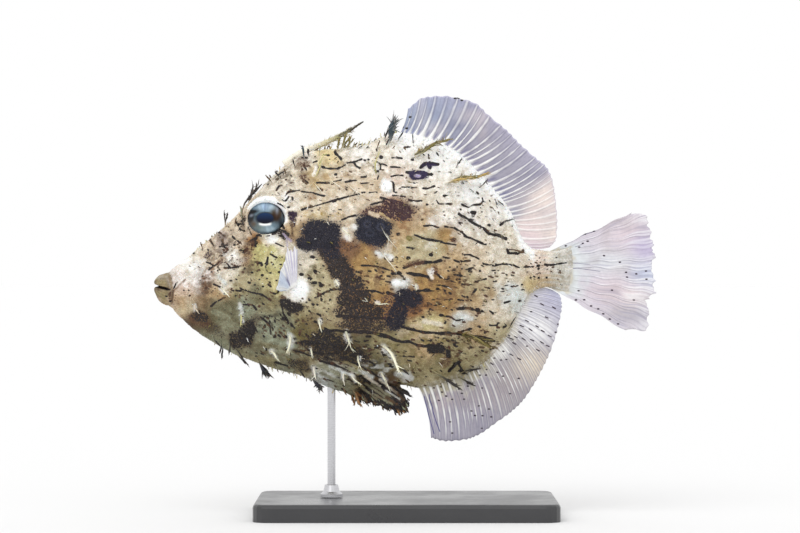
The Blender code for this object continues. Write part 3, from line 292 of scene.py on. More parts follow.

# Stained and flecked parts: place, reach, strength, size of the flecks in millimetres and colour
# The white fleck at (232, 257) is a painted highlight
FLECKS_PX = (
    (216, 262, 9, 15, 0.5, 1.2, "umber"), (206, 284, 8, 13, 0.8, 1.0, "umber"),
    (230, 240, 20, 12, 0.5, 1.1, "brown"), (224, 258, 16, 10, 0.55, 1.0, "plum"),
    (205, 288, 7, 12, 0.8, 0.9, "brown"), (203, 280, 5, 14, 0.9, 0.8, "sienna"),
    (457, 221, 9, 8, 0.8, 1.3, "taupe"), (402, 227, 12, 8, 0.7, 1.1, "rust"),
    (322, 215, 24, 4.4, 1.0, 0.7, "mustard"), (448, 352, 14, 8, 0.7, 1.2, "umber"),
    (346, 246, 12, 8, 1.0, 1.0, "rust"), (398, 211, 16, 10, 0.35, 0.9, "rust"),
    (376, 208, 14, 6, 0.8, 1.0, "umber"), (366, 252, 14, 8, 0.8, 1.1, "sienna"),
    (424, 214, 12, 9, 0.7, 1.2, "sienna"), (251, 250, 8, 16, 0.8, 1.2, "brown"),
    (222, 292, 12, 8, 0.5, 1.7, "rust"), (248, 270, 12, 8, 0.7, 1.3, "umber"),
    (253, 241, 9, 8, 1.0, 1.2, "amber"), (258, 345, 14, 14, 0.5, 1.5, "moss"),
    (284, 176, 24, 13, 0.62, 1.1, "umber"), (302, 166, 16, 14, 0.6, 1.3, "umber"),
    (326, 178, 30, 18, 0.55, 1.7, "ochre"), (270, 322, 20, 20, 0.62, 1.3, "soot"),
    (230, 318, 20, 14, 0.6, 1.5, "moss"), (340, 366, 54, 14, 0.9, 1.5, "soot"),
    (300, 350, 30, 16, 0.7, 1.4, "umber"), (430, 345, 44, 16, 0.75, 1.8, "olive"),
    (450, 288, 46, 30, 0.6, 1.4, "sienna"), (505, 268, 44, 14, 0.22, 1.5, "straw"),
    (384, 190, 30, 14, 0.45, 1.8, "tan"), (475, 214, 30, 22, 0.4, 1.6, "haze"),
    (314, 272, 12, 22, 0.7, 1.3, "moss"), (380, 276, 18, 14, 0.75, 1.5, "sienna"),
    (304, 330, 14, 16, 0.6, 1.4, "olive"), (232, 257, 12, 9, 1.0, 2.0, "white"),
    (400, 185, 44, 22, 0.55, 2.2, "white"), (474, 238, 40, 20, 0.5, 2.2, "white"),
    (420, 330, 40, 12, 0.45, 2.0, "cream"), (340, 205, 34, 14, 0.5, 2.0, "white"),
    (188, 272, 24, 14, 0.5, 2.4, "white"), (185, 292, 18, 12, 0.3, 2.0, "rust"),
    (345, 170, 34, 12, 0.4, 2.0, "white"), (300, 205, 14, 12, 0.45, 1.8, "tan"),
    (392, 246, 12, 7, 0.4, 1.8, "white"), (425, 210, 16, 12, 0.5, 1.8, "tan"),
    (262, 302, 16, 9, 0.6, 1.2, "moss"), (234, 234, 14, 11, 0.3, 0.9, "dun"),
    (365, 167, 42, 14, 0.5, 1.2, "bark"), (217, 253, 10, 8, 0.7, 0.9, "dun"),
    (246, 226, 6, 9, 0.8, 0.9, "dun"), (212, 268, 10, 10, 0.7, 0.8, "rust"),
    (374, 372, 24, 9, 0.9, 2.0, "frost"), (384, 398, 30, 14, 0.55, 1.6, "sage"),
    (352, 404, 16, 8, 0.8, 1.4, "rust"),
)

# The pale eyes of two ringed marks: place, half sizes and strength
RINGS_PX = (
    (417.5, 176, 4.6, 2.2, 1.0), (367.5, 224, 4.0, 4.0, 0.16), (380.5, 227, 4.0, 4.0, 0.2),
    (370, 233, 4.5, 4.0, 0.12),
)

# Long dark lines along the body, and the half widths of light and heavy ones
STRIPE_WIDTH = 1.0
HEAVY_WIDTH = 1.55
STRIPES_PX = (
    ((322, 167), (328, 168.6), (338, 168.4), (345.5, 165.2)), ((347, 163), (354.7, 162), (362, 159.3)),
    ((355, 163), (356.5, 166), (360, 168)), ((316.8, 183), (329.2, 183)), ((333, 182), (340.6, 180.4)),
    ((345, 182), (356.4, 180.4)), ((361, 183.7), (368.8, 182.6)), ((361, 177), (365.6, 176.6)),
    ((286.4, 194), (289, 191.8), (299.4, 190.2)), ((302, 191.3), (312.4, 193), (324.4, 195.6)),
    ((299.4, 210.8), (308, 207.5), (315.7, 205.4), (325.4, 202.7), (336.3, 200), (347.7, 196.7),
     (359, 194.5)),
    ((362.3, 192.9), (365, 192.4)), ((369.4, 192.4), (376.4, 191.8)), ((386.2, 192.7), (390, 191.8)),
    ((341.7, 220), (348.2, 216.8), (355.8, 215.7)), ((369.9, 204.8), (378.6, 202.7), (386.2, 201.6)),
    ((313.5, 162.5), (316.8, 161.5)), ((319, 168), (318.4, 171.2)), ((302, 158), (308, 158)),
    ((304.3, 163), (304.5, 166.9), (307, 170.7)), ((302.7, 178.8), (307.5, 183)),
    ((277.7, 175.5), (283, 171.8)), ((276.6, 190.7), (278.8, 186.4), (282.6, 185.3)),
    ((285.3, 200.5), (289, 196.7)), ((376.4, 162), (380.2, 164.2), (380.2, 169)),
    ((381.8, 164), (386.7, 165.2)), ((391, 166.9), (400, 167.4)), ((377.5, 179.9), (378.6, 176)),
    ((391, 176.6), (396.3, 175.6), (402.8, 175.6)), ((392, 157.7), (401.7, 158.2)),
    ((392.7, 183), (393.8, 191.8)), ((361.2, 265.9), (378.6, 266.5), (390, 270.2)),
    ((365, 290.3), (374.3, 290.9), (382.9, 293.6)),
    ((314.6, 297.9), (324.4, 292.5), (330.9, 289.8), (344, 289.2)),
    ((305.9, 344.5), (320, 343.5), (330, 345)),
    ((245.2, 290.3), (251.7, 292.5), (262.5, 294.7), (270.7, 300)),
    ((243, 304.4), (252.8, 305), (257, 309.8)), ((236.5, 290.9), (240.8, 290.9)),
    ((442.9, 257.2), (449.4, 258.3)), ((453.8, 260), (459.2, 261.6)), ((461.3, 261.6), (470, 261)),
    ((463, 254.5), (470, 255), (478.7, 258.9)),
    ((483, 263.4), (495, 265.9), (502.6, 263.7), (511.2, 264.8)), ((512.9, 264.8), (519.4, 267.3)),
    ((524.3, 266.5), (533.5, 266.5)), ((545, 265), (556, 264.5), (566, 263)),
    ((453.8, 274.6), (465, 276.2)), ((465.7, 269.7), (473.3, 268)), ((444, 279), (453.8, 281.6)),
    ((461.9, 283.8), (472.2, 284.3)), ((474.4, 281.6), (486.3, 279)), ((436.4, 284.9), (448.3, 287)),
    ((385.4, 281.6), (390.8, 282.7)), ((440.2, 315.3), (449.4, 316.9), (456, 320.7), (467.3, 319)),
    ((426.6, 302.8), (431.5, 304.4)), ((437, 302.2), (441.8, 304.4)), ((458, 300), (463.5, 300.6)),
    ((471.6, 294.7), (476, 288.7)), ((489.5, 310.9), (493.3, 313.6)), ((489.5, 325), (497, 325)),
    ((504.2, 302.8), (510, 300.6)), ((416.9, 236), (428.8, 239.9), (444, 243), (456, 244.8)),
    ((463.5, 236), (472.2, 238.8), (480.9, 243)), ((480.9, 243), (486.3, 244.8)),
    ((492.8, 235), (505.8, 238.3)), ((407, 248), (414.7, 247.8)),
    ((408.2, 199.4), (413.6, 200.5), (421.8, 201)), ((393, 195.6), (405, 196.4)),
    ((436.4, 200), (438.6, 203.8), (452.1, 204.3)),
    ((461.9, 204.8), (468.4, 207.5), (473.3, 204.8), (479.8, 204)),
    ((479.8, 204), (483, 201), (482.5, 198.3)), ((423.9, 225.4), (431, 225.4), (438.6, 227.6)),
    ((445, 226.5), (453.8, 228.2), (460.3, 231.4), (466.8, 236.3), (475.4, 240), (483, 242.8)),
    ((414.2, 235.2), (426.6, 238.5), (441.8, 241.7)),
    ((500.4, 224.9), (505.8, 220.6), (511.8, 221), (511.8, 217.3)),
    ((491.7, 196.2), (495.5, 195), (497.7, 198.3)), ((495.5, 199.4), (497, 203.8), (502.6, 204.8)),
    ((476.5, 191.8), (478.2, 194)), ((442.9, 196), (448, 195.4)),
    ((479.2, 186.9), (480.9, 182), (484.7, 179.9)), ((484.7, 179.9), (488.5, 185.9)),
    ((456.5, 167.4), (458, 161.5), (460.3, 159.3), (463.5, 160.9)), ((442.9, 147.9), (447.2, 150)),
    ((438.6, 155.5), (436.4, 152.8)), ((386.5, 144), (390.8, 133.3)), ((399.5, 134.3), (398.4, 139.8)),
    ((412.5, 136), (413, 143)), ((405, 147.4), (410.4, 146.8)), ((470, 174.5), (476, 171.8)),
    ((381, 198), (393, 201)), ((399, 189.4), (401.7, 187.5), (417, 187.5)),
    ((422.3, 188), (427.7, 188), (434.2, 186.2)), ((276, 243), (282.6, 246.4)),
    ((270, 254), (276.6, 257.2)), ((266.9, 262), (265.2, 267.5)), ((268.5, 284.9), (271.2, 287)),
    ((272.8, 292.5), (275.6, 293.6)), ((173, 290), (176, 284), (181, 278)), ((188, 248), (194, 253)),
    ((206, 262), (214, 266)), ((210, 240), (214, 246)), ((222, 244), (228, 250)),
    ((214, 284), (222, 288)), ((226, 262), (231, 268)), ((232, 236), (240, 243)),
    ((218, 232), (224, 236)), ((236, 222), (241, 230)), ((281, 300), (283, 312), (288, 322)),
    ((262, 318), (270, 325), (271, 334)), ((252, 322), (256, 330)), ((300, 352), (312, 356)),
    ((318, 366), (334, 372)), ((340, 362), (356, 368)), ((276, 362), (288, 366)),
    ((320, 361), (335, 365), (350, 371)), ((322, 369), (338, 375), (352, 381)), ((327, 379), (344, 386)),
    ((352, 362), (366, 369), (380, 378)), ((360, 376), (376, 386), (392, 397)), ((356, 384), (372, 395)),
    ((296, 343), (306, 341), (318, 344)), ((296, 352), (308, 350), (322, 354), (338, 353)),
    ((209, 270), (214, 266), (220, 262)), ((224, 268), (232, 267.6), (240, 266)),
    ((210.6, 306), (218, 301), (225, 297.6)), ((240, 288), (243, 290)), ((404, 356), (414, 357)),
    ((450, 371), (454, 364), (458, 363)), ((458, 363), (462, 370), (466, 374)),
)
HEAVY_STRIPES_PX = (
    ((334.7, 152.2), (340.6, 158.7)), ((335.7, 315.8), (349.3, 316.3), (365.6, 318), (385.1, 318.5)),
    ((320, 330.4), (334, 330.4), (349.3, 331.5), (371, 332.6), (384, 336.4), (400, 341.8)),
    ((387.3, 292.5), (398.4, 296.3), (408.2, 294)), ((413.6, 291.4), (429.3, 290)),
    ((403.3, 268), (415.8, 263.7), (432, 262)), ((434.2, 262), (440.7, 260.5)),
    ((392, 273.8), (400.6, 273.2)), ((406, 273), (420, 274.9), (428.8, 277.5)),
    ((434.2, 273), (440.2, 276.8)),
    ((401.7, 327.2), (415.8, 331), (438.6, 333.2), (457.5, 333.7), (479.8, 337), (492, 340)),
    ((380, 334.2), (390.8, 337.5), (401.7, 342.4), (409.3, 341.8), (418, 345.6), (442.9, 346.7)),
    ((457, 308.8), (472.2, 308.8)), ((459.2, 214), (464.6, 216.8), (472.2, 222.2), (484, 228.2)),
    ((484, 228.2), (488.5, 233), (498.2, 235.2), (505.8, 238.5)),
    ((507, 249.6), (508, 252.9), (517.7, 253.4)), ((517.7, 253.4), (523.2, 250.7)),
    ((406.6, 171.8), (411.4, 173.4), (417.4, 171.8), (423.4, 172.8)),
    ((423.4, 172.8), (427.7, 175), (431.5, 174.5)), ((411.4, 176.6), (415.8, 178.8), (423.4, 177.7)),
    ((420.7, 168), (424.5, 163.3), (429.9, 163.6), (437.5, 164.9)), ((429.9, 168.5), (428.8, 164.7)),
    ((392.1, 273.5), (400, 273)), ((280, 222), (284, 228)), ((259, 235.4), (263, 236)),
    ((273, 234), (277, 231.6)), ((251, 241.4), (257, 238)), ((252.5, 245), (257, 242.8)),
    ((245, 251.5), (247.5, 249)), ((257, 262.6), (262, 263.4)), ((263, 262), (267, 264), (267, 258)),
    ((449, 371), (453, 366), (459, 362)), ((460, 371), (466, 375), (472, 371)), ((447, 351), (450, 357)),
    ((476, 336), (486, 341), (494, 341)), ((482, 340), (489, 346)),
)

# Pale strokes over the dark: start, end, half width and colour
# The white stroke at x 236 ahead of and below the eye and the frost one at (240, 304) on the lower cheek
# are painted highlights
STREAKS_PX = (
    (360, 371, 372, 377, 2.4, "frost"), (366, 377, 380, 386, 1.4, "bone"),
    (372, 384, 390, 396, 1.3, "sage"), (380, 380, 396, 392, 1.2, "bone"),
    (352, 378, 364, 388, 1.2, "khaki"), (362, 388, 378, 400, 1.0, "sage"),
    (384, 396, 398, 405, 1.0, "umber"), (356, 392, 366, 402, 1.2, "rust"),
    (392, 388, 404, 400, 1.0, "umber"), (397, 374, 411, 378, 3.6, "frost"),
    (349, 368, 360, 373, 1.4, "sage"), (322, 364, 338, 370, 1.6, "sage"),
    (318, 365, 346, 377, 2.4, "sage"), (322, 373, 342, 384, 2.0, "sage"),
    (330, 366, 354, 376, 1.3, "frost"), (366, 384, 384, 396, 1.1, "sage"),
    (374, 394, 392, 404, 1.0, "sage"), (386, 390, 400, 400, 0.8, "frost"),
    (286.6, 236.5, 287.3, 246, 0.9, "lavender"), (344, 362, 362, 369, 1.2, "khaki"),
    (286, 208, 287, 222, 0.8, "white"), (262, 237, 268, 246, 2.0, "cream"),
    (283, 233, 291, 241, 1.0, "lilac"), (297, 224, 300, 212, 1.4, "cream"),
    (345, 232, 350, 240, 2.4, "cream"), (370, 213, 378, 216, 2.2, "cream"),
    (380, 213, 389, 219, 0.7, "straw"), (178, 268, 186, 262, 2.4, "white"),
    (196, 266, 204, 260, 2.0, "white"), (180, 280, 186, 286, 2.4, "chalk"),
    (218, 276, 226, 284, 2.2, "frost"), (236, 251, 236.5, 262, 2.6, "white"),
    (240, 304, 242, 312, 2.0, "frost"), (288, 330, 291, 340, 1.8, "celadon"),
    (268, 340, 296, 346, 2.6, "celadon"), (214, 312, 228, 318, 3.4, "sage"),
    (384, 181, 389, 190, 3.4, "frost"), (394, 282, 404, 284, 3.2, "frost"),
    (458, 316, 472, 319, 2.6, "frost"), (424, 321.4, 441, 324.6, 2.6, "bone"),
    (428, 270, 432, 278, 1.8, "white"), (376, 253, 392, 257, 2.0, "frost"),
    (169, 276, 172.5, 290, 1.0, "bark"), (185, 279, 174, 291, 0.9, "sienna"),
    (173, 291, 171.5, 303, 1.3, "brown"), (292, 224, 292.5, 236, 1.0, "brown"),
    (264, 262, 268, 250, 1.6, "lemon"),
)

# Round dark spots: place and radius
SPOTS_PX = (
    (365, 160.4, 1.3), (368.8, 159.5, 1.3), (284, 200.5, 1.2), (288, 207.5, 1.8), (335.7, 173.9, 1.6),
    (328.2, 155, 1.4), (381.3, 157.7, 2.0), (282, 257, 1.4), (273.4, 264.3, 1.5), (281, 264.3, 1.5),
    (270.7, 273, 1.6), (279.3, 271.9, 1.6), (252.2, 272.4, 1.6), (262, 274.6, 1.7), (259.3, 279.5, 1.5),
    (266.9, 278.9, 1.4), (276.6, 280.6, 1.5), (249.5, 282.7, 1.4), (255, 284.9, 1.2), (263, 286.5, 1.2),
    (309.2, 278.4, 2.4), (314.6, 282.7, 2.8), (321, 286, 2.2), (301.6, 275, 2.4), (315.7, 270.8, 1.8),
    (312.4, 257.2, 2.2), (427.2, 204.8, 2.2), (473.8, 212.4, 2.8), (482, 211.9, 1.3), (460.8, 209.7, 1.3),
    (488.5, 225.2, 1.7), (512.3, 225.4, 1.9), (397.4, 235.2, 1.4), (431, 255, 2.0), (537.8, 265.7, 1.9),
    (546, 264.8, 1.5), (530.2, 277.8, 1.2), (538.9, 277.8, 1.4), (547, 277.8, 1.4), (511.2, 287, 1.3),
    (517.7, 286, 1.2), (522, 284.8, 1.2), (502.6, 289.2, 1.3), (508, 281.6, 1.1), (495, 273, 1.1),
    (479.8, 270.8, 1.4), (529, 259.4, 1.1), (450.5, 293.6, 1.6), (467.3, 296.8, 1.6), (471, 300, 1.4),
    (446.2, 308.2, 1.4), (452, 309.8, 1.3), (445, 322.9, 1.4), (449.4, 300, 1.2), (482, 311.5, 1.8),
    (477, 309.3, 2.0), (479.8, 327.2, 1.4), (484.7, 333.2, 1.2), (469, 329.4, 1.4), (422.8, 316.9, 1.7),
    (409, 258, 2.2), (385.4, 257.8, 1.4), (412.4, 249, 1.2), (390, 262, 1.1), (396, 257, 1.1),
    (449.6, 266.8, 1.3), (457, 266.4, 1.2), (448.6, 270.6, 1.2), (438, 289, 1.6), (461.5, 268.6, 1.5),
    (504.4, 327, 1.9), (507.4, 295.2, 1.0), (519.9, 300.6, 1.7), (525.3, 302.2, 1.3), (412, 159.8, 2.2),
    (166, 296, 1.4), (170, 301, 1.4), (168, 306, 1.2), (194, 262, 1.0), (202, 250, 1.0), (212, 272, 1.1),
    (222, 256, 1.1), (184, 290, 1.1), (231, 281, 1.3), (218, 296, 1.2), (209, 289, 1.1), (236, 296, 1.2),
)

# Fields of short seeded dashes: middle, spread, number, length, width and how steeply they run in degrees
LOOSE_FIELDS_PX = (
    (466, 286, 34, 24, 150, 3.0, 0.95, 5), (400, 190, 60, 26, 110, 2.6, 0.85, 2),
    (229, 252, 20, 20, 175, 1.5, 0.85, 40), (264, 270, 12, 18, 44, 1.4, 0.95, 30),
    (380, 280, 24, 16, 100, 3.0, 0.95, 8), (318, 280, 10, 24, 60, 1.6, 0.9, 20),
    (340, 355, 60, 16, 130, 3.0, 0.95, 12), (450, 345, 40, 16, 130, 3.0, 0.95, 8),
    (500, 230, 26, 30, 60, 2.2, 0.85, 10), (540, 270, 26, 12, 36, 1.6, 0.85, 2),
    (270, 325, 24, 20, 100, 1.8, 0.9, 50), (283, 184, 18, 14, 76, 1.6, 0.9, 50),
    (374, 386, 26, 9, 70, 5.0, 0.9, 32), (282, 328, 22, 12, 70, 1.6, 0.9, 60),
    (240, 296, 16, 12, 44, 1.4, 0.85, 30), (455, 335, 30, 12, 60, 2.4, 0.9, 8),
    (346, 372, 20, 8, 60, 3.0, 0.9, 14), (457, 222, 14, 9, 34, 2.0, 0.85, 10),
    (302, 325, 16, 14, 60, 1.8, 0.9, 20), (420, 306, 14, 10, 34, 2.4, 0.9, 6),
    (372, 352, 18, 8, 50, 2.4, 0.9, 12), (320, 300, 14, 18, 50, 1.4, 0.9, 10),
    (390, 262, 14, 10, 24, 2.4, 0.9, 6), (500, 202, 12, 16, 36, 2.0, 0.9, 50),
    (412, 372, 18, 8, 30, 2.0, 0.9, 20), (425, 150, 40, 10, 50, 2.0, 0.85, 60),
    (205, 285, 18, 14, 50, 2.0, 0.8, -30), (325, 190, 34, 22, 50, 2.4, 0.8, 0),
)

# Stains and painted highlights on the iris: place and reach in millimetres, colour and strength; the tint
# goes over all
IRIS_TINT = (0.6, 0.7, 0.77)
# The two frost stains at the top of the iris are painted highlights
IRIS_STAINS_AND_HIGHLIGHTS = (
    ((0.4, 2.6), (3.4, 1.5), "sky", 0.7), ((-2.2, 2.3), (1.2, 1.2), "frost", 0.4),
    ((-5.6, -1.4), (2.1, 3.2), "soot", 1.3), ((-5.0, 0.6), (2.9, 0.9), "soot", 1.3),
    ((-4.2, -4.4), (1.6, 1.3), "sienna", 0.9), ((-5.2, -0.9), (0.8, 0.5), "haze", 0.6),
    ((5.0, 0.4), (2.1, 3.0), "umber", 1.6), ((4.6, -1.6), (1.7, 1.8), "brown", 1.4),
    ((5.0, 1.4), (0.5, 1.4), "haze", 0.6), ((6.4, -3.4), (0.8, 1.8), "ink", 0.8),
    ((3.2, 2.2), (1.5, 1.1), "frost", 0.6), ((0.3, 2.4), (0.3, 1.6), "slate", 0.6),
    ((1.8, -6.4), (4.0, 1.2), "frost", 0.6), ((-2.0, -5.8), (2.4, 1.4), "sage", 0.6),
)

# Dark strokes on and round the eyelids: line and half width
LID_MARKS_PX = (
    (((278.5, 204.2), (282.5, 205.8), (285.4, 209.4)), 0.8), (((257, 235.4), (262, 236.4)), 1.0),
    (((267, 236.2), (270, 235.8)), 0.8), (((273, 233.6), (280, 229.6)), 1.2),
    (((249, 206), (252.5, 202.5)), 0.5), (((248.2, 228), (251.4, 234.4)), 0.9),
    (((286, 200.8), (288.6, 197.4)), 0.9), (((282, 199.6), (283, 200)), 0.6),
)

# Tassels placed one by one: root, tip, colour at the tip, thickness in millimetres and side twigs
TASSELS_PX = (
    ((242, 217), (253.5, 185), "soot", 0.85, 7), ((225, 227), (225, 212), "soot", 0.5, 4),
    ((235, 226), (236, 219), "umber", 0.5, 3), ((202, 250), (201, 243), "umber", 0.4, 3),
    ((244, 219), (241, 208), "sage", 0.6, 4), ((273, 184), (268, 175), "umber", 0.5, 4),
    ((280, 180), (276, 170), "soot", 0.6, 6), ((286, 176), (284, 168), "umber", 0.5, 4),
    ((296, 168), (292, 159), "soot", 0.5, 5), ((305, 160), (303, 147), "teal", 0.7, 7),
    ((310, 157), (306, 149), "soot", 0.5, 5), ((316, 175), (320, 154), "lime", 0.5, 3),
    ((318, 156), (320, 146), "sage", 0.4, 4), ((337, 152), (340, 139), "olive", 0.6, 5),
    ((340, 152), (346, 136), "olive", 0.7, 6), ((345, 150), (352, 138), "olive", 0.5, 4),
    ((352, 148), (357, 143), "soot", 0.3, 2), ((358, 149), (363, 145), "soot", 0.3, 2),
    ((364, 149), (369, 146), "soot", 0.3, 2), ((384, 149), (395, 121), "teal", 1.15, 8),
    ((385, 142), (386.5, 129), "soot", 0.6, 5), ((386, 140), (397.5, 130), "teal", 0.5, 5),
    ((376, 150), (380, 141), "umber", 0.4, 4), ((397, 142), (403, 132), "soot", 0.5, 3),
    ((413, 143), (413.5, 134.5), "soot", 0.4, 3), ((376, 172), (373, 152), "lime", 0.5, 3),
    ((412, 157), (438, 143), "olive", 1.0, 15), ((424, 149), (453, 138), "olive", 0.7, 10),
    ((414, 158), (420, 149), "mustard", 0.6, 5), ((445, 184), (470, 177), "mustard", 0.75, 14),
    ((452, 180), (476, 176), "olive", 0.8, 10), ((462, 180), (492, 173), "mustard", 0.6, 10),
    ((380, 249), (396, 270), "bone", 0.4, 2), ((381, 226), (398, 252), "bone", 0.35, 1),
    ((343, 229), (351, 238), "ivory", 0.6, 3), ((336, 281), (340, 287), "ivory", 0.6, 2),
    ((376, 303), (385, 306), "ivory", 0.5, 3), ((416, 285), (416, 290), "ivory", 0.5, 2),
    ((222, 288), (229, 296), "ivory", 0.6, 2), ((195, 306), (198, 313), "cream", 0.5, 1),
    ((241, 316), (242, 325), "lime", 0.6, 2), ((272, 352), (278, 361), "ivory", 0.8, 3),
    ((290, 337), (291, 355), "ivory", 0.9, 4), ((319, 321), (319, 329), "ivory", 0.6, 2),
    ((311, 350), (313, 357), "ivory", 0.6, 2), ((346, 333), (351, 352), "ivory", 0.8, 3),
    ((358, 357), (358, 367), "ivory", 0.6, 2), ((384, 347), (402, 366), "ivory", 0.9, 4),
    ((314, 368), (315, 380), "bone", 0.8, 3), ((344, 374), (343, 383), "bone", 0.6, 3),
    ((352, 376), (358, 385), "ivory", 0.6, 3), ((382, 374), (391, 388), "ivory", 0.7, 4),
    ((213, 336), (220, 346), "soot", 0.5, 3), ((220, 341), (221.5, 355), "soot", 0.55, 3),
    ((230, 343), (231, 353), "soot", 0.5, 2), ((236, 349), (247, 362.5), "soot", 0.6, 3),
    ((257, 359), (266, 375), "ink", 1.15, 12), ((300, 369), (304, 376), "soot", 0.5, 3),
    ((311, 376), (320, 389), "ink", 1.2, 12), ((342, 386), (348, 394), "umber", 0.5, 4),
    ((352, 390), (358, 405), "rust", 0.8, 7), ((362, 393), (367, 402), "umber", 0.6, 5),
    ((397, 386), (409, 394.5), "soot", 0.9, 8), ((398, 365), (410, 374), "soot", 0.6, 3),
    ((458, 333), (494, 346), "olive", 0.8, 9), ((478, 337), (495, 341), "olive", 0.4, 4),
    ((504, 333), (513, 318.5), "soot", 0.3, 3), ((503, 333), (516, 341), "soot", 0.35, 3),
    ((433, 370.5), (460, 386), "soot", 0.9, 9), ((449, 371), (459, 361.5), "soot", 0.7, 4),
    ((458, 377), (473, 386), "soot", 0.7, 6), ((459, 374), (475, 366), "soot", 0.6, 4),
    ((330, 181), (341, 191), "bone", 0.3, 1), ((349, 186), (358, 200), "bone", 0.3, 1),
    ((315, 184), (322, 194), "bone", 0.3, 1), ((459, 214), (472, 222), "soot", 0.5, 3),
    ((488, 229), (506, 239), "soot", 0.5, 4), ((497, 199), (504, 205), "soot", 0.4, 3),
    ((500, 225), (512, 217), "soot", 0.4, 4), ((480, 187), (487, 180), "soot", 0.4, 4),
    ((507, 250), (524, 251), "umber", 0.6, 5), ((456, 168), (463, 159), "soot", 0.4, 3),
    ((420, 168), (430, 163), "violet", 0.5, 3), ((394, 190), (394, 183), "soot", 0.4, 2),
)
PALE_TASSELS = ("white", "ivory", "bone", "cream", "lime")
LEAFY_TASSELS = ("olive", "mustard")
THIN_TASSEL = 0.45
BUSHY_TASSEL = 1.0

# How tassels of a kind grow: bend, where on the stem twigs start, their spread, their length
TASSEL_KINDS = {
    "leafy": (0.05, 0.05, 0.42, 1.2),
    "bushy": (0.05, 0.6, 0.42, 1.7),
    "pale": (0.18, 0.25, 0.42, 1.7),
    "plain": (0.1, 0.45, 0.34, 1.0),
}

# Seeds, the numbers of small tassels and bristles, and the far side's shift of the placed ones
SKIN_SEED = 11
COAT_SEED = 23
SPINE_SEED = 31
SMALL_TASSELS = 290
BACK_FRINGE = 170
BELLY_FRINGE = 90
FLAP_FRINGE = 110
FAR_SHIFT_PX = 1.6
SPINE_BARBS = 150
SPINE_BRISTLES = 140

# The share of places on the skin's grid that carry a papilla, the side of a tube's bake patch,
# and where no small tassel grows: round the eye, ahead of x, and in a box of x and height
PAPILLA_SHARE = 0.42
PATCH = 0.003
EYE_CLEAR = 10.5
LIPS_CLEAR = -90
FIN_CLEAR = (-50, -40, -18, 2)

# Marks on the fins: stains and lights as place, reach, strength and colour, then lines, dots, dashes
DORSAL_STAINS_PX = (
    (513, 212, 9, 9, 0.75, "slate"), (501, 197, 11, 9, 0.65, "slate"), (523, 200, 11, 10, 0.55, "mist"),
)
DORSAL_DOTS_PX = ((404, 117), (402.5, 127), (407, 128), (410, 117), (455, 98), (459, 97.6), (462, 100))
ANAL_STAINS_PX = (
    (470, 396, 44, 16, 0.7, "taupe"), (508, 380, 20, 18, 0.75, "taupe"), (434, 394, 10, 14, 0.6, "dun"),
    (442, 400, 8, 14, 0.4, "petal"), (470, 420, 34, 12, 0.5, "mist"), (532, 363, 21, 17, 1.0, "cream"),
    (424, 416, 5, 26, 0.8, "slate"), (548, 296, 16, 12, 0.6, "lavender"),
    (536, 326, 18, 18, 0.8, "pearl"),
)
ANAL_LIGHTS_PX = ((502, 351, 9, 8, 0.7, "white"), (542, 330, 15, 12, 0.5, "white"))
ANAL_LINES_PX = (
    ((424, 396), (428, 414), (434, 434)), ((429, 394), (433, 412), (440, 432)), ((420, 394), (424, 410)),
)
ANAL_DOTS_PX = (
    (531, 311.7), (558, 323.8), (555.7, 332), (452, 399), (461.6, 393.3), (463.8, 399.3), (458.6, 389),
    (479.7, 375), (486, 375.2), (486.7, 369.7), (497.4, 372), (502.6, 376), (510.3, 393.3), (519, 378.6),
    (482, 387.8), (479.3, 406), (475, 415.7), (482.8, 415.7), (488.8, 408.8), (468, 386), (471.6, 411),
    (450, 421.7), (452.6, 433), (491.7, 417), (482, 428.6), (438.6, 400.5), (446, 396), (442.2, 392.4),
    (494, 358), (503.4, 351), (501, 360), (506.5, 359.3), (527, 346.4), (456, 384), (470, 382),
    (434, 388), (441, 387),
)
ANAL_DASHES_PX = (
    (542, 304.5), (554, 307.5), (546.5, 317.5), (537, 326), (543, 330.7), (526.7, 321), (530.5, 329.5),
    (520.7, 332), (532, 340), (542, 342.4), (547.4, 346), (514, 343.3), (519, 358.8), (511, 354.5),
    (491.4, 364), (536, 296), (522, 326), (508, 335), (516, 337), (538, 350), (524, 339), (550, 336),
)
CAUDAL_STAINS_PX = (
    (630, 234, 26, 20, 0.55, "petal"), (648, 250, 14, 14, 0.5, "lilac"), (606, 262, 34, 12, 0.6, "frost"),
    (646, 276, 16, 12, 0.7, "sky"), (612, 292, 26, 14, 0.6, "petal"), (634, 298, 16, 14, 0.45, "shell"),
    (624, 314, 20, 10, 0.5, "veil"),
)
CAUDAL_TINTS_PX = ((642, 246, 12, 10, 0.4, "lilac"), (640, 316, 14, 8, 0.5, "mist"))
CAUDAL_LINES_PX = (
    ((570, 262.5), (580, 264), (590, 264.5)), ((572, 268), (586, 269.5), (600, 271)),
    ((566, 243), (580, 236), (596, 231)), ((575, 247), (584, 243)),
)
CAUDAL_DOTS_PX = (
    (568, 241), (576, 237.6), (585, 234), (594, 231), (602, 226), (579, 247), (583, 243), (588, 241),
    (626, 272), (646, 271), (627, 277), (646.6, 279.5), (636, 274), (579, 291), (584, 300), (591, 306),
    (603, 314), (598, 309), (612, 290), (620, 262), (604, 256), (634, 300), (610, 319), (618, 324),
    (572, 240), (566, 246), (576, 300),
)


def linear(name):
    """A palette colour as linear light."""
    share = np.array(PALETTE[name]) / 255
    return np.where(share <= 0.04045, share / 12.92, ((share + 0.055) / 1.055) ** 2.4)


def smooth(start, end, value):
    """A soft step from 0 at start to 1 at end."""
    share = np.clip((value - start) / (end - start), 0, 1)
    return share * share * (3 - 2 * share)


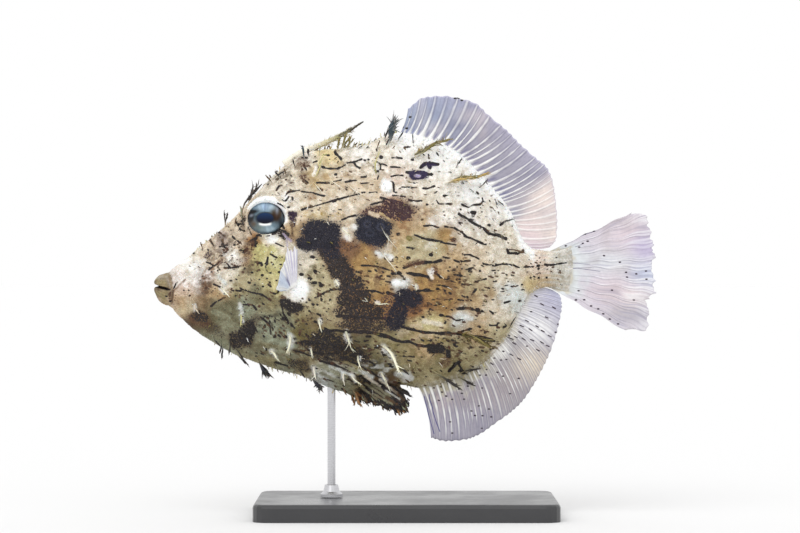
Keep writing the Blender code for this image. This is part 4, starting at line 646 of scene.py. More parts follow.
def curve(points):
    """A smooth function of position through (position, value) points, with no overshoot."""
    places, values = np.array(points, float).T
    steps = np.diff(places)
    slopes = np.diff(values) / steps
    tangents = np.concatenate((slopes[:1], slopes[1:], slopes[-1:]))
    for index in range(1, len(places) - 1):
        before, after = slopes[index - 1], slopes[index]
        tangents[index] = 0.0 if before * after <= 0 else 2 * before * after / (before + after)

    def value(position):
        position = np.clip(position, places[0], places[-1])
        index = np.clip(np.searchsorted(places, position) - 1, 0, len(steps) - 1)
        step = steps[index]
        t = (position - places[index]) / step
        rise = 3 * t ** 2 - 2 * t ** 3
        leave = (t ** 3 - 2 * t ** 2 + t) * step * tangents[index]
        arrive = (t ** 3 - t ** 2) * step * tangents[index + 1]
        return values[index] * (1 - rise) + values[index + 1] * rise + leave + arrive

    return value


def scatter(cell, seed):
    """A repeatable number from 0 to 1 for each whole-number cell of a grid in space."""
    ix, iy, iz = (cell[..., axis].astype(np.int64) for axis in range(3))
    mixed = (ix * 73856093 ^ iy * 19349663 ^ iz * 83492791 ^ (seed + 1) * 2654435761) & 0xffffffff
    mixed = ((mixed ^ (mixed >> 15)) * 2246822519) & 0xffffffff
    mixed = ((mixed ^ (mixed >> 13)) * 3266489917) & 0xffffffff
    return ((mixed ^ (mixed >> 16)) & 0xffffff) / 0xffffff


def noise(points, size, seed=0):
    """Smooth noise from -1 to 1 whose lumps are about size across."""
    scaled = np.asarray(points, float) / size
    corner = np.floor(scaled)
    share = scaled - corner
    share = share * share * (3 - 2 * share)
    total = 0.0
    for dx in (0, 1):
        for dy in (0, 1):
            for dz in (0, 1):
                weight = (np.abs(1 - dx - share[..., 0]) * np.abs(1 - dy - share[..., 1])
                          * np.abs(1 - dz - share[..., 2]))
                total = total + weight * scatter(corner + (dx, dy, dz), seed)
    return 2 * total - 1


def cells(points, size, seed=0):
    """Distance to the nearest of many scattered points, as a share of their spacing."""
    scaled = np.asarray(points, float) / size
    corner = np.floor(scaled)
    nearest = np.full(len(scaled), 9.0)
    for dx in (-1, 0, 1):
        for dy in (-1, 0, 1):
            for dz in (-1, 0, 1):
                cell = corner + (dx, dy, dz)
                spot = cell + np.stack([scatter(cell, seed + axis) for axis in range(3)], axis=-1)
                nearest = np.minimum(nearest, ((scaled - spot) ** 2).sum(axis=-1))
    return np.sqrt(nearest)


back_flesh = curve(BACK_LINE)
belly_flesh = curve(BELLY_LINE)
width_flesh = curve(HALF_WIDTHS)
back_ridge_flesh = curve(BACK_RIDGE)
belly_ridge_flesh = curve(BELLY_RIDGE)


def snout_round(x):
    """One on the body, falling along a quarter circle to nothing at the front of the mouth."""
    ahead = np.clip((HEAD_FRONT - x) / (HEAD_FRONT - MOUTH_FRONT), 0, 1)
    return np.sqrt(np.maximum(1 - ahead ** 2, 0))


def back(x):
    """Height of the back line, with the lips' outline ahead of the head."""
    middle, reach, drop = SNOUT_DROP
    top = np.where(x < HEAD_FRONT, MOUTH_LEVEL + MOUTH_HALF_HEIGHT * snout_round(x), back_flesh(x))
    return top - drop * np.exp(-((x - middle) / reach) ** 2) * snout_round(x)


def belly(x):
    """Height of the belly line."""
    return np.where(x < HEAD_FRONT, MOUTH_LEVEL - MOUTH_HALF_HEIGHT * snout_round(x), belly_flesh(x))


def back_ridge(x):
    return back_ridge_flesh(x) * snout_round(x)


def belly_ridge(x):
    return belly_ridge_flesh(x) * snout_round(x)


def half_width(x):
    """Half the body's width at its middle."""
    return np.where(x < HEAD_FRONT, MOUTH_HALF_WIDTH * snout_round(x), width_flesh(x))


def key_line(keys, column):
    """One number of each key as a smooth function of the share along the keys."""
    return curve([(index / (len(keys) - 1), key[column]) for index, key in enumerate(keys)])


def bell(distance, reach):
    """One at no distance, falling softly to nothing past about twice the reach."""
    return np.exp(-(distance / reach) ** 2)


def blend(colours, goal, share, at=slice(None)):
    """Bring some of the colours nearer to a goal, a palette name or a colour of its own."""
    goal = linear(goal) if isinstance(goal, str) else goal
    colours[at] += (goal - colours[at]) * share[:, None]


def relief(x, height):
    """Depth of the flank's swellings and hollows at a place in the side view."""
    return sum(depth * bell(x - at_x, reach_x) * bell(height - at_height, reach_z)
               for at_x, at_height, reach_x, reach_z, depth in RELIEF)


def level_of(x, height):
    """Where a height lies between the belly line at -1 and the back line at 1."""
    middle = (back(x) + belly(x)) / 2
    return np.clip((height - middle) / np.maximum((back(x) - belly(x)) / 2, 1e-6), -1, 1)


def flank(x, height):
    """Half the body's width at a place in its side view."""
    level = level_of(x, height)
    keel = np.where(level > 0, BACK_KEEL, BELLY_KEEL)
    ridge = np.where(level > 0, back_ridge(x), belly_ridge(x))
    fullness = np.sqrt(1 - level ** 2) ** keel
    return ridge + (half_width(x) - ridge + relief(x, height) * snout_round(x)) * fullness


def photo_place(points):
    """Where points show in the photograph; those of the far side are mirrored and warped a little."""
    x, y, height = points.T
    nearer = CAMERA_DISTANCE / (CAMERA_DISTANCE - np.abs(y))
    px = CENTRE_PX[0] + (x - CENTRE_X) / PIXEL * nearer
    py = CENTRE_PX[1] - (height - CENTRE_HEIGHT) / PIXEL * nearer
    far = smooth(0, 5, y)
    px = px + far * 6 * noise(points, 26, 21)
    py = py + far * 5 * noise(points, 22, 22)
    return px, py


def from_photo(px, py, side=-1):
    """The x, height and y of the flank that shows at a pixel, on either side."""
    width = 0.0
    for _ in range(3):
        shrink = (CAMERA_DISTANCE - width) / CAMERA_DISTANCE
        x = CENTRE_X + (px - CENTRE_PX[0]) * PIXEL * shrink
        height = CENTRE_HEIGHT + (CENTRE_PX[1] - py) * PIXEL * shrink
        width = float(flank(x, height))
    return x, height, side * width


def on_flank(px, py, side, lift=0.0):
    """The point above the flank that shows at a pixel."""
    x, height, y = from_photo(px, py, side)
    return np.array((x, y + side * lift, height))


def near_line(px, py, line):
    """Distance in pixels from each place to a broken line."""
    nearest = np.full(len(px), 1e3)
    for (ax, ay), (bx, by) in zip(line, line[1:]):
        run_x, run_y = bx - ax, by - ay
        length = max(run_x ** 2 + run_y ** 2, 1e-9)
        share = np.clip(((px - ax) * run_x + (py - ay) * run_y) / length, 0, 1)
        nearest = np.minimum(nearest, np.hypot(px - ax - share * run_x, py - ay - share * run_y))
    return nearest


def loose_marks():
    """Short seeded dashes that fill the skin between the listed marks."""
    chance = random.Random(SKIN_SEED)
    for x, y, reach_x, reach_y, number, length, width, turn in LOOSE_FIELDS_PX:
        for _ in range(number):
            at_x, at_y = chance.gauss(x, reach_x * 0.7), chance.gauss(y, reach_y * 0.7)
            run = length * chance.uniform(0.3, 1.3)
            way = math.radians(chance.gauss(turn, 15))
            end = (at_x + run * math.cos(way), at_y + run * math.sin(way))
            hue = chance.choice(("soot", "soot", "umber", "brown"))
            yield ((at_x, at_y), end), width * chance.uniform(0.6, 1.3), chance.uniform(0.6, 1.0), hue


class Paint:
    """Ground colour, dark marks and pale spots at each of many points of the skin, with painted shade and
    painted highlights among them.
    """

    def __init__(self, points):
        self.points = points
        self.px, self.py = photo_place(points)
        self.wobble_x = self.px + 2.2 * noise(points, 5, 31) + 1.1 * noise(points, 2.2, 32)
        self.wobble_y = self.py + 2.2 * noise(points, 5, 33) + 1.1 * noise(points, 2.2, 34)
        self.tone = self.ground()
        self.ink_tone = np.tile(linear("dusk"), (len(points), 1))
        self.ink, self.dusk, self.pale = np.zeros((3, len(points)))
        self.place_marks()

    def place_marks(self):
        """Lay the marks on the ground, those that cover others last."""
        for seed, fleck in enumerate(FLECKS_PX):
            self.fleck(seed, *fleck)
        for patch in PATCHES_PX:
            self.patch(*patch)
        for lines, width in ((STRIPES_PX, STRIPE_WIDTH), (HEAVY_STRIPES_PX, HEAVY_WIDTH)):
            for line in lines:
                self.line(line, width)
        for mark in loose_marks():
            self.line(*mark)
        for streak in STREAKS_PX:
            self.streak(*streak)
        for x, y, radius in SPOTS_PX:
            self.line(((x - radius * 0.3, y), (x + radius * 0.3, y)), radius * 0.8)
        for glow in GLOWS_PX:
            self.glow(*glow)
        for root, tip, hue, thick, _ in TASSELS_PX:
            if hue in PALE_TASSELS and thick > THIN_TASSEL:
                middle = tuple(0.6 * a + 0.4 * b for a, b in zip(root, tip))
                self.halo((root, middle), 4.8 * thick, 0.5)
        for ring in RINGS_PX:
            self.ring(*ring)

    def ground(self):
        """Blend the listed ground colours by distance."""
        colour = np.zeros((len(self.px), 3))
        total = np.zeros(len(self.px))
        stretched = self.points * (0.7, 1.0, 1.0)
        lumps = [noise(stretched, size, seed) for size, seed in ((3.4, 35), (1.7, 36), (2.4, 37))]
        chance = random.Random(SKIN_SEED)
        for x, y, reach, name in TONES_PX:
            favour = sum(chance.uniform(-1.4, 1.4) * lump for lump in lumps)
            away = ((self.wobble_x - x) ** 2 + (self.wobble_y - y) ** 2) / reach ** 2
            weight = np.exp(np.minimum(favour - away, 6)) + 1e-12
            colour += weight[:, None] * linear(name)
            total += weight
        return colour / total[:, None]

    def near(self, x, y, reach):
        """The points within reach of a pixel, as their numbers."""
        return np.flatnonzero((np.abs(self.px - x) < reach) & (np.abs(self.py - y) < reach))

    def near_box(self, line, spare):
        """The points round a line, as their numbers."""
        xs, ys = zip(*line)
        reach = max(max(xs) - min(xs), max(ys) - min(ys)) / 2 + spare
        return self.near((min(xs) + max(xs)) / 2, (min(ys) + max(ys)) / 2, reach)

    def fleck(self, seed, x, y, reach_x, reach_y, strength, size, name):
        """Stain the ground in small flecks that thin out from a middle."""
        at = self.near(x, y, 2.2 * max(reach_x, reach_y))
        here = self.points[at] * (0.75, 1.0, 1.0)
        fade = bell(self.px[at] - x, reach_x) * bell(self.py[at] - y, reach_y)
        lumps = noise(here, size, 100 + seed) + 0.5 * noise(here, size * 0.5, 200 + seed)
        blend(self.tone, name, strength * smooth(0.1, 0.34, lumps + 0.3 * fade - 0.08) * fade, at)

    def patch(self, x, y, reach_x, reach_y, tilt, boxy, density, hue):
        """Cover a tilted oval or box with dark grains, and stain the gaps between them."""
        at = self.near(x, y, 1.5 * max(reach_x, reach_y) + 4)
        turn = math.radians(tilt)
        dx, dy = self.wobble_x[at] - x, self.wobble_y[at] - y
        along = np.abs(dx * math.cos(turn) + dy * math.sin(turn)) / reach_x
        across = np.abs(dy * math.cos(turn) - dx * math.sin(turn)) / reach_y
        away = (along ** boxy + across ** boxy) ** (1 / boxy)
        cover = density * smooth(1.3, 0.72, away)
        wins = smooth(0.04, 0.3, cover) * (cover >= self.dusk[at])
        self.dusk[at] = np.maximum(self.dusk[at], cover)
        blend(self.ink_tone, hue, wins, at)
        blend(self.tone, GAPS[hue], 0.72 * cover, at)

    def streak(self, x, y, end_x, end_y, width, name):
        """A pale stroke that also clears the dark below it."""
        line = ((x, y), (end_x, end_y))
        at = self.near_box(line, 4)
        here = self.points[at]
        away = near_line(self.px[at], self.py[at] + 0.8 * noise(here, 1.8, 44), line)
        share = smooth(width + 0.8, width * 0.4, away) * (0.8 + 0.2 * noise(here, 1.2, 45))
        blend(self.tone, name, share, at)
        self.dusk[at] *= 1 - share
        self.ink[at] *= 1 - share

    def line(self, line, width, dark=1.0, hue="soot"):
        """A dark line of uneven width."""
        at = self.near_box(line, 6)
        if len(at) == 0:
            return
        here = self.points[at]
        drift = 0.5 * noise(here, 2.6, 41)
        away = near_line(self.px[at] + drift, self.py[at] + 0.6 * noise(here, 3.4, 42), line)
        width = width * (1 + 0.5 * noise(here, 1.5, 43))
        ink = dark * np.clip(0.5 + (width - away) / 2.2, 0, 1)
        blend(self.ink_tone, hue, smooth(0.2, 0.6, ink) * (self.dusk[at] < 0.5), at)
        self.ink[at] = np.maximum(self.ink[at], ink)

    def glow(self, x, y, radius, strength):
        """A round pale spot."""
        at = self.near(x, y, radius * 2)
        away = np.hypot(self.wobble_x[at] - x, self.wobble_y[at] - y) / radius
        self.pale[at] = np.maximum(self.pale[at], strength * smooth(1.55, 0.1, away))
        self.dusk[at] *= 1 - 0.8 * strength * smooth(1.2, 0.3, away)

    def halo(self, line, reach, strength):
        """Soft light along a line."""
        at = self.near_box(line, 3 * reach)
        light = strength * bell(near_line(self.wobble_x[at], self.wobble_y[at], line), reach)
        self.pale[at] = np.maximum(self.pale[at], light)
        self.dusk[at] *= 1 - 0.7 * light

    def ring(self, x, y, reach_x, reach_y, strength):
        """A pale oval at full strength, else a faint ring in the dark."""
        at = self.near(x, y, max(reach_x, reach_y) + 4)
        away = np.hypot((self.px[at] - x) / reach_x, (self.py[at] - y) / reach_y)
        if strength == 1.0:
            light = smooth(1.0, 0.5, away)
            self.ink[at] *= 1 - light
            self.dusk[at] *= 1 - light
            blend(self.tone, "lilac", light, at)
        else:
            blend(self.ink_tone, "slate", 0.7 * strength * bell(away - 0.8, 0.22), at)

    def look(self):
        """The one colour that each point shows from afar."""
        dark = np.maximum(smooth(0.35, 0.65, self.ink), smooth(0.35, 0.8, self.dusk))[:, None]
        light = smooth(0.3, 0.9, self.pale)[:, None]
        shown = self.tone + (linear("frost") - self.tone) * light
        return shown + (self.ink_tone - shown) * dark


class Nodes:
    """A material whose shader nodes are added and joined in short lines."""

    def __init__(self, name):
        self.material = bpy.data.materials.new(name)
        self.material.use_nodes = True
        self.tree = self.material.node_tree
        self.shader = self.tree.nodes["Principled BSDF"]

    def add(self, kind, **settings):
        node = self.tree.nodes.new(kind)
        for key, value in settings.items():
            setattr(node, key, value)
        return node

    def put(self, socket, value):
        """Join a socket to another one, or set its own value."""
        if isinstance(value, bpy.types.NodeSocket):
            self.tree.links.new(value, socket)
        else:
            socket.default_value = value

    def feed(self, node, **sockets):
        """Set or join sockets; a name's underscores stand for spaces."""
        for key, value in sockets.items():
            self.put(node.inputs[key.replace("_", " ")], value)
        return node

    def attribute(self, name, output="Color"):
        return self.add("ShaderNodeAttribute", attribute_name=name).outputs[output]

    def texture(self, kind, output, **sockets):
        place = self.add("ShaderNodeTexCoord").outputs["Object"]
        return self.feed(self.add(kind), Vector=place, **sockets).outputs[output]

    def noise(self, scale, detail=2.0, roughness=0.5):
        return self.texture("ShaderNodeTexNoise", "Fac", Scale=scale, Detail=detail, Roughness=roughness)

    def voronoi(self, scale, randomness=1.0):
        return self.texture("ShaderNodeTexVoronoi", "Distance", Scale=scale, Randomness=randomness)

    def maths(self, operation, first, second=0.5):
        node = self.add("ShaderNodeMath", operation=operation)
        for socket, value in zip(node.inputs, (first, second)):
            self.put(socket, value)
        return node.outputs[0]

    def remap(self, value, low, high, to_low=0.0, to_high=1.0):
        node = self.add("ShaderNodeMapRange", interpolation_type="SMOOTHSTEP")
        self.feed(node, Value=value, From_Min=low, From_Max=high, To_Min=to_low, To_Max=to_high)
        return node.outputs[0]

    def mix(self, share, first, second, way="MIX"):
        node = self.add("ShaderNodeMix", data_type="RGBA", blend_type=way)
        for index, value in ((0, share), (6, first), (7, second)):
            self.put(node.inputs[index], value)
        return node.outputs[2]

    def shade(self, colour, share, low, high):
        """A colour multiplied by a shade between low and high."""
        return self.mix(1.0, colour, self.mix(share, low + (1,), high + (1,)), "MULTIPLY")

    def bump(self, height, strength, distance, below=None):
        node = self.add("ShaderNodeBump")
        self.feed(node, Height=height, Strength=strength, Distance=distance)
        if below is not None:
            self.feed(node, Normal=below)
        return node.outputs["Normal"]

    def finish(self, **sockets):
        self.feed(self.shader, **sockets)
        return self.material


def skin_material():
    """Granular skin: ground colour, patches of dark grains, dark lines and pale spots, with painted shade
    between the granules and painted highlights on their tops.
    """
    make = Nodes("mottled_skin")
    grain = make.noise(1100, 3.0, 0.6)
    broad = make.noise(430, 3.0, 0.55)
    warts = make.voronoi(1650, 0.85)
    fine = make.voronoi(2300)
    tone = make.attribute("tone")
    ground = make.shade(tone, make.remap(broad, 0.3, 0.7), (0.7, 0.66, 0.61), (1.1, 1.09, 1.1))
    # Painted shade: the ground darkens in the gaps between the granules
    ground = make.shade(ground, make.remap(warts, 0.62, 0.2), (0.85, 0.83, 0.79), (1.03, 1.03, 1.04))
    ground = make.shade(ground, make.remap(grain, 0.34, 0.68), (0.88, 0.86, 0.82), (1.06, 1.06, 1.07))
    glow = make.maths("ADD", make.attribute("pale", "Fac"), make.maths("MULTIPLY", broad, 0.45))
    ground = make.mix(make.remap(glow, 0.3, 0.98), ground, (0.9, 0.91, 0.91, 1))
    loose = make.maths("MULTIPLY", make.maths("SUBTRACT", grain, 0.5), 0.5)
    line = make.remap(make.maths("ADD", make.attribute("ink", "Fac"), loose), 0.4, 0.66)
    depth = make.maths("MULTIPLY", make.attribute("dusk", "Fac"), 1.2)
    depth = make.maths("SUBTRACT", depth, make.maths("MULTIPLY", warts, 1.1))
    patch = make.remap(make.maths("ADD", depth, loose), 0.1, 0.36)
    # Painted highlight: the tops of the granules in the dark patches and lines lighten to a purple grey
    rise = make.maths("MULTIPLY", make.remap(warts, 0.4, 0.1), 0.16)
    dark = make.mix(rise, make.attribute("ink_tone"), (0.3, 0.27, 0.32, 1))
    colour = make.mix(make.maths("MAXIMUM", line, patch), ground, dark)
    domes = make.bump(make.remap(warts, 0.6, 0.0), 0.55, 0.0003)
    domes = make.bump(fine, 0.25, 0.00012, domes)
    gloss = make.remap(grain, 0.3, 0.7, 0.4, 0.62)
    make.feed(make.shader, Base_Color=colour, Normal=domes, Roughness=gloss)
    return make.finish(IOR=1.38, Subsurface_Weight=0.05, Subsurface_Scale=0.003)


def tassel_material():
    make = Nodes("tassel_skin")
    colour = make.shade(make.attribute("tone"), make.noise(1500), (0.75, 0.72, 0.66), (1.2, 1.2, 1.2))
    fuzz = make.bump(make.voronoi(2600), 0.4, 0.00015)
    make.feed(make.shader, Base_Color=colour, Normal=fuzz)
    return make.finish(Roughness=0.55, Subsurface_Weight=0.05, Subsurface_Scale=0.003)


def spine_material():
    make = Nodes("spine_horn")
    grain = make.noise(1100, 3.0)
    colour = make.shade(make.attribute("tone"), grain, (0.7, 0.68, 0.62), (1.25, 1.25, 1.25))
    make.feed(make.shader, Base_Color=colour, Normal=make.bump(grain, 0.4, 0.0002))
    return make.finish(Roughness=0.45)


def fin_material(name, alpha):
    """A thin membrane whose own colours and dark spots come from the mesh."""
    make = Nodes(name)
    grain = make.noise(700, 3.0, 0.6)
    ground = make.shade(make.attribute("tone"), grain, (0.86, 0.85, 0.86), (1.12, 1.12, 1.12))
    ink = make.maths("ADD", make.attribute("ink", "Fac"), make.maths("MULTIPLY", grain, 0.25))
    colour = make.mix(make.remap(ink, 0.52, 0.75), ground, make.attribute("ink_tone"))
    ripple = make.bump(make.noise(420, 3.0, 0.6), 0.3, 0.0003)
    make.feed(make.shader, Base_Color=colour, Normal=ripple)
    return make.finish(Alpha=alpha, Roughness=0.32, IOR=1.38)


def eye_material():
    make = Nodes("eyeball")
    streak = make.noise(1300, 3.0, 0.6)
    colour = make.shade(make.attribute("tone"), streak, (0.8, 0.8, 0.82), (1.18, 1.18, 1.16))
    make.feed(make.shader, Base_Color=colour)
    return make.finish(Roughness=0.12, IOR=1.3, Specular_IOR_Level=0.4)


def plate_material():
    make = Nodes("satin_black_plate")
    grain = make.noise(900, 2.0)
    haze = make.noise(35, 5.0, 0.65)
    colour = make.mix(haze, (0.018, 0.018, 0.02, 1), (0.04, 0.04, 0.043, 1))
    gloss = make.remap(haze, 0.35, 0.7, 0.27, 0.42)
    make.feed(make.shader, Base_Color=colour, Roughness=gloss, Normal=make.bump(grain, 0.06, 0.0001))
    return make.finish(Coat_Weight=0.25, Coat_Roughness=0.2)


def steel_material():
    """Steel brushed round its axis."""
    make = Nodes("brushed_steel")
    place = make.add("ShaderNodeTexCoord").outputs["Object"]
    stretch = make.add("ShaderNodeMapping")
    make.feed(stretch, Vector=place, Scale=(60.0, 60.0, 5200.0))
    brush = make.add("ShaderNodeTexNoise")
    make.feed(brush, Vector=stretch.outputs[0], Scale=1.0, Detail=3.0)
    lines = brush.outputs["Fac"]
    colour = make.mix(lines, (0.48, 0.48, 0.5, 1), (0.72, 0.72, 0.74, 1))
    make.feed(make.shader, Base_Color=colour, Roughness=make.remap(lines, 0.3, 0.7, 0.22, 0.38),
              Normal=make.bump(lines, 0.08, 0.00005))
    return make.finish(Metallic=1.0)


def new_piece(name, points, faces, finish, colours=None, patches=None):
    """An object from points in millimetres, its faces, and what the material reads at each point."""
    mesh = bpy.data.meshes.new(name)
    places = np.asarray(points, float) * MM
    places[:, 2] += AXIS_HEIGHT * MM
    mesh.from_pydata(places.tolist(), [], faces)
    for key, values in (colours or {}).items():
        values = np.asarray(values, float)
        if values.ndim == 2:
            layer = mesh.attributes.new(key, "FLOAT_COLOR", "POINT")
            layer.data.foreach_set("color", np.column_stack((values, np.ones(len(values)))).ravel())
        else:
            layer = mesh.attributes.new(key, "FLOAT", "POINT")
            layer.data.foreach_set("value", values)
    if patches is not None:
        corners = np.empty(len(mesh.loops), dtype=np.int32)
        mesh.loops.foreach_get("vertex_index", corners)
        layer = mesh.uv_layers.new(name="OFBake")
        layer.data.foreach_set("uv", np.asarray(patches, float)[corners].ravel())
    mesh.materials.append(finish)
    mesh.shade_smooth()
    made = bpy.data.objects.new(name, mesh)
    bpy.context.scene.collection.objects.link(made)
    return made


def settle(piece, slot, *nodes):
    """Let a piece ride on the fish and stand for its nodes."""
    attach(piece, "root")
    if nodes:
        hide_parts(*nodes)


def grid_faces(rows, columns, wrap=False, start=0):
    """Quads between neighbouring rows of a grid of points, closed round each row if it wraps."""
    row = np.arange(rows - 1)[:, None]
    column = np.arange(columns if wrap else columns - 1)[None, :]
    after = (column + 1) % columns
    near, far = start + row * columns, start + (row + 1) * columns
    quads = np.stack((near + column, far + column, far + after, near + after), axis=-1)
    return quads.reshape(-1, 4).tolist()


def slant(station):
    """Forward lean of the body's sections, full at the gill cover and none at snout and tail."""
    rise = np.clip((station - HEAD_FRONT) / (HEAD_REAR - HEAD_FRONT), 0, 1)
    fall = np.clip((SLANT_END - station) / (SLANT_END - HEAD_REAR), 0, 1)
    return GILL_SLANT * np.minimum(rise, fall)


def margin(station, lean, line):
    """Where leaning sections meet the back or belly line."""
    height = line(station)
    for _ in range(MARGIN_STEPS):
        height = line(station + lean * height)
    return station + lean * height, height


def even_angles(count):
    """Angles from back to belly that space points evenly round a typical section."""
    half_width_of, half_height_of = TYPICAL_SECTION
    angle = np.linspace(0, math.pi, 2000)
    steps = np.hypot(np.diff(half_width_of * np.sin(angle)), np.diff(half_height_of * np.cos(angle)))
    travelled = np.concatenate(((0,), np.cumsum(steps)))
    return np.interp(np.linspace(0, travelled[-1], count), travelled, angle)


def hem_of(base_x):
    """Where the pelvic flap's hem lies below each place along the belly."""
    share = np.interp(base_x, [key[0] for key in FLAP_KEYS], np.linspace(0, 1, len(FLAP_KEYS)))
    return key_line(FLAP_KEYS, 1)(share), key_line(FLAP_KEYS, 2)(share), share


def skin_grid():
    """The bare body as rings of points from the mouth to just past the tail stalk's end."""
    cap = np.linspace(0, math.pi / 2, CAP_RINGS)[:0:-1]
    front = HEAD_FRONT - (HEAD_FRONT - MOUTH_FRONT) * np.sin(cap) * 0.9995
    count = int((SKIN_REAR - HEAD_FRONT) / STATION_STEP)
    stations = np.concatenate((front, np.linspace(HEAD_FRONT, SKIN_REAR, count)))
    lean = slant(stations)
    top_x, top = margin(stations, lean, back)
    foot_x, foot = margin(stations, lean, belly)
    share = (1 + np.cos(even_angles(SIDE_POINTS))) / 2
    x = foot_x[:, None] + (top_x - foot_x)[:, None] * share
    height = foot[:, None] + (top - foot)[:, None] * share
    width = flank(x, height)
    width[:, 0] = back_ridge(top_x)
    width[:, -1] = belly_ridge(foot_x)
    width *= (1 - 0.86 * smooth(STALK_REAR - 10, SKIN_REAR, stations))[:, None]
    left = np.stack((x, -width, height), axis=-1)
    right = np.stack((x, width, height), axis=-1)[:, ::-1]
    flap = flap_strip(foot_x, foot, width[:, -1])
    across = np.linspace(1, -1, TOP_POINTS + 2)[1:-1]
    arch = top[:, None] + 0.12 * width[:, :1] * (1 - across ** 2)
    crown = np.stack(np.broadcast_arrays(top_x[:, None], width[:, :1] * across, arch), axis=-1)
    return np.concatenate((left, flap, right, crown), axis=1)


def flap_strip(foot_x, foot, ridge):
    """The belly's middle strip, drawn down into the pelvic flap where that grows."""
    across = np.linspace(-1, 1, FLAP_POINTS + 2)[1:-1]
    t = 1 - np.abs(across)[None, :]
    hem_x, hem, share = hem_of(foot_x)
    flap_front, flap_rear = FLAP_KEYS[0][0], FLAP_KEYS[-1][0]
    grown = smooth(flap_front - 1.2, flap_front + 1.5, foot_x)
    grown = (grown * smooth(flap_rear + 0.5, flap_rear - 0.2, foot_x))[:, None]
    folds = np.cos(share * FLAP_FOLDS * 2 * math.pi)[:, None]
    reach = grown * t * (1 + 0.06 * folds)
    x = foot_x[:, None] + (hem_x - foot_x)[:, None] * reach
    height = foot[:, None] + (hem - foot)[:, None] * reach
    flat = ridge[:, None] * across
    thin = (0.5 - 0.3 * t + 0.18 * folds) * (1 - (1 - t) ** 3)
    sheeted = np.sign(across) * (ridge[:, None] * (1 - t) ** 3 + thin)
    sway = 0.7 * t * np.sin(9 * share)[:, None]
    y = flat * (1 - grown) + (sheeted + sway) * grown
    sag = 0.1 * ridge[:, None] * (1 - across ** 2) * (1 - grown)
    return np.stack((x, y, height - sag), axis=-1)


def grid_normals(grid):
    """Outward directions of a grid of rings."""
    along = np.gradient(grid, axis=0)
    around = np.roll(grid, -1, axis=1) - np.roll(grid, 1, axis=1)
    normal = np.cross(around, along)
    return normal / np.maximum(np.linalg.norm(normal, axis=-1, keepdims=True), 1e-9)


def eye_pose(side):
    """Centre of an eyeball and the turn that faces it out of the head."""
    x, height = EYE_AT
    centre = (x, side * (float(flank(x, height)) - EYE_SINK), height)
    turn = (Matrix.Rotation(math.radians(side * EYE_FORWARD_TILT), 3, "Z")
            @ Matrix.Rotation(math.radians(side * EYE_UP_TILT), 3, "X"))
    return np.array(centre), np.array(turn)


def seam_height(x):
    return MOUTH_LEVEL - math.tan(math.radians(SEAM_FALL)) * (x - MOUTH_FRONT)


def skin_relief(flat):
    """How far the skin's warts, folds, lips, nostrils and gill slits stand out or sink in."""
    x, y, height = flat.T
    calm = smooth(STALK_REAR, STALK_REAR - 8, x) * smooth(MOUTH_FRONT, HEAD_FRONT + 3, x)
    calm = 0.35 + 0.65 * calm
    lift = WART_HEIGHT * (1 - smooth(0.0, 0.7, cells(flat, WART_SIZE, 51))) * calm
    lift += 0.22 * noise(flat, 6.0, 52) * calm + 0.10 * noise(flat, 2.4, 53) * calm
    head = smooth(-50, -70, x)
    lift += head * 0.14 * noise(flat * (1.0, 1.0, 0.5), 1.9, 54)
    lift -= 0.3 * bell(x - LIP_REAR + 0.08 * (height - MOUTH_LEVEL), 0.8)
    seam = height - seam_height(x)
    mouth = smooth(HEAD_FRONT + 1.5, HEAD_FRONT - 1.5, x)
    lift += mouth * 0.3 * bell(np.abs(seam) - 1.8, 1.1)
    lift += mouth * 0.1 * np.sin(np.arctan2(seam, y + 1e-6) * 26)
    lift -= mouth * 1.9 * bell(seam, 0.42)
    for at_x, at_height in NOSTRILS:
        away = np.hypot(x - at_x, height - at_height)
        lift += 0.35 * bell(away - 0.95, 0.35) - 0.8 * bell(away, 0.5)
    slit = near_line(x, height, GILL_SLIT)
    return lift + 0.35 * bell(slit - 1.3, 0.6) - 1.5 * bell(slit, 0.42)


def lid_place(points, side):
    """Places seen from an eyeball: its frame, distance from its axis, and from the opening's edge at 1."""
    centre, turn = eye_pose(side)
    local = (points - centre) @ turn
    along, up, half_along, half_up = EYE_OPENING
    rim = np.hypot((local[:, 0] - along) / half_along, (local[:, 2] - up) / half_up)
    return centre, turn, local, np.hypot(local[:, 0], local[:, 2]), rim


def seat_eyes(points):
    """Sink the skin below each eyeball and draw soft lids over its edge."""
    for side in (-1, 1):
        centre, turn, local, away, rim = lid_place(points, side)
        at = np.flatnonzero((away < 14) & (points[:, 1] * side > 0))
        local, away, rim = local[at], away[at], rim[at]
        out = local[:, 1] * side
        dome = EYE_HALF_DEPTH * np.sqrt(np.maximum(1 - (away / EYE_RADIUS) ** 2, 0))
        upper = smooth(-2.5, 3.5, local[:, 2])
        cover = dome + 0.25 + 0.5 * smooth(1.0, 1.12, rim)
        out = out + (np.maximum(out, cover) - out) * smooth(9.6, 7.4, away)
        out += (0.45 + 0.5 * upper) * bell(rim - 1.17, 0.1)
        out -= (0.25 + 0.25 * upper) * bell(rim - 1.42, 0.08)
        under = smooth(1.03, 0.96, rim)
        out = out * (1 - under) + (dome - 0.9) * under
        local[:, 1] = out * side
        points[at] = local @ turn.T + centre
    return points


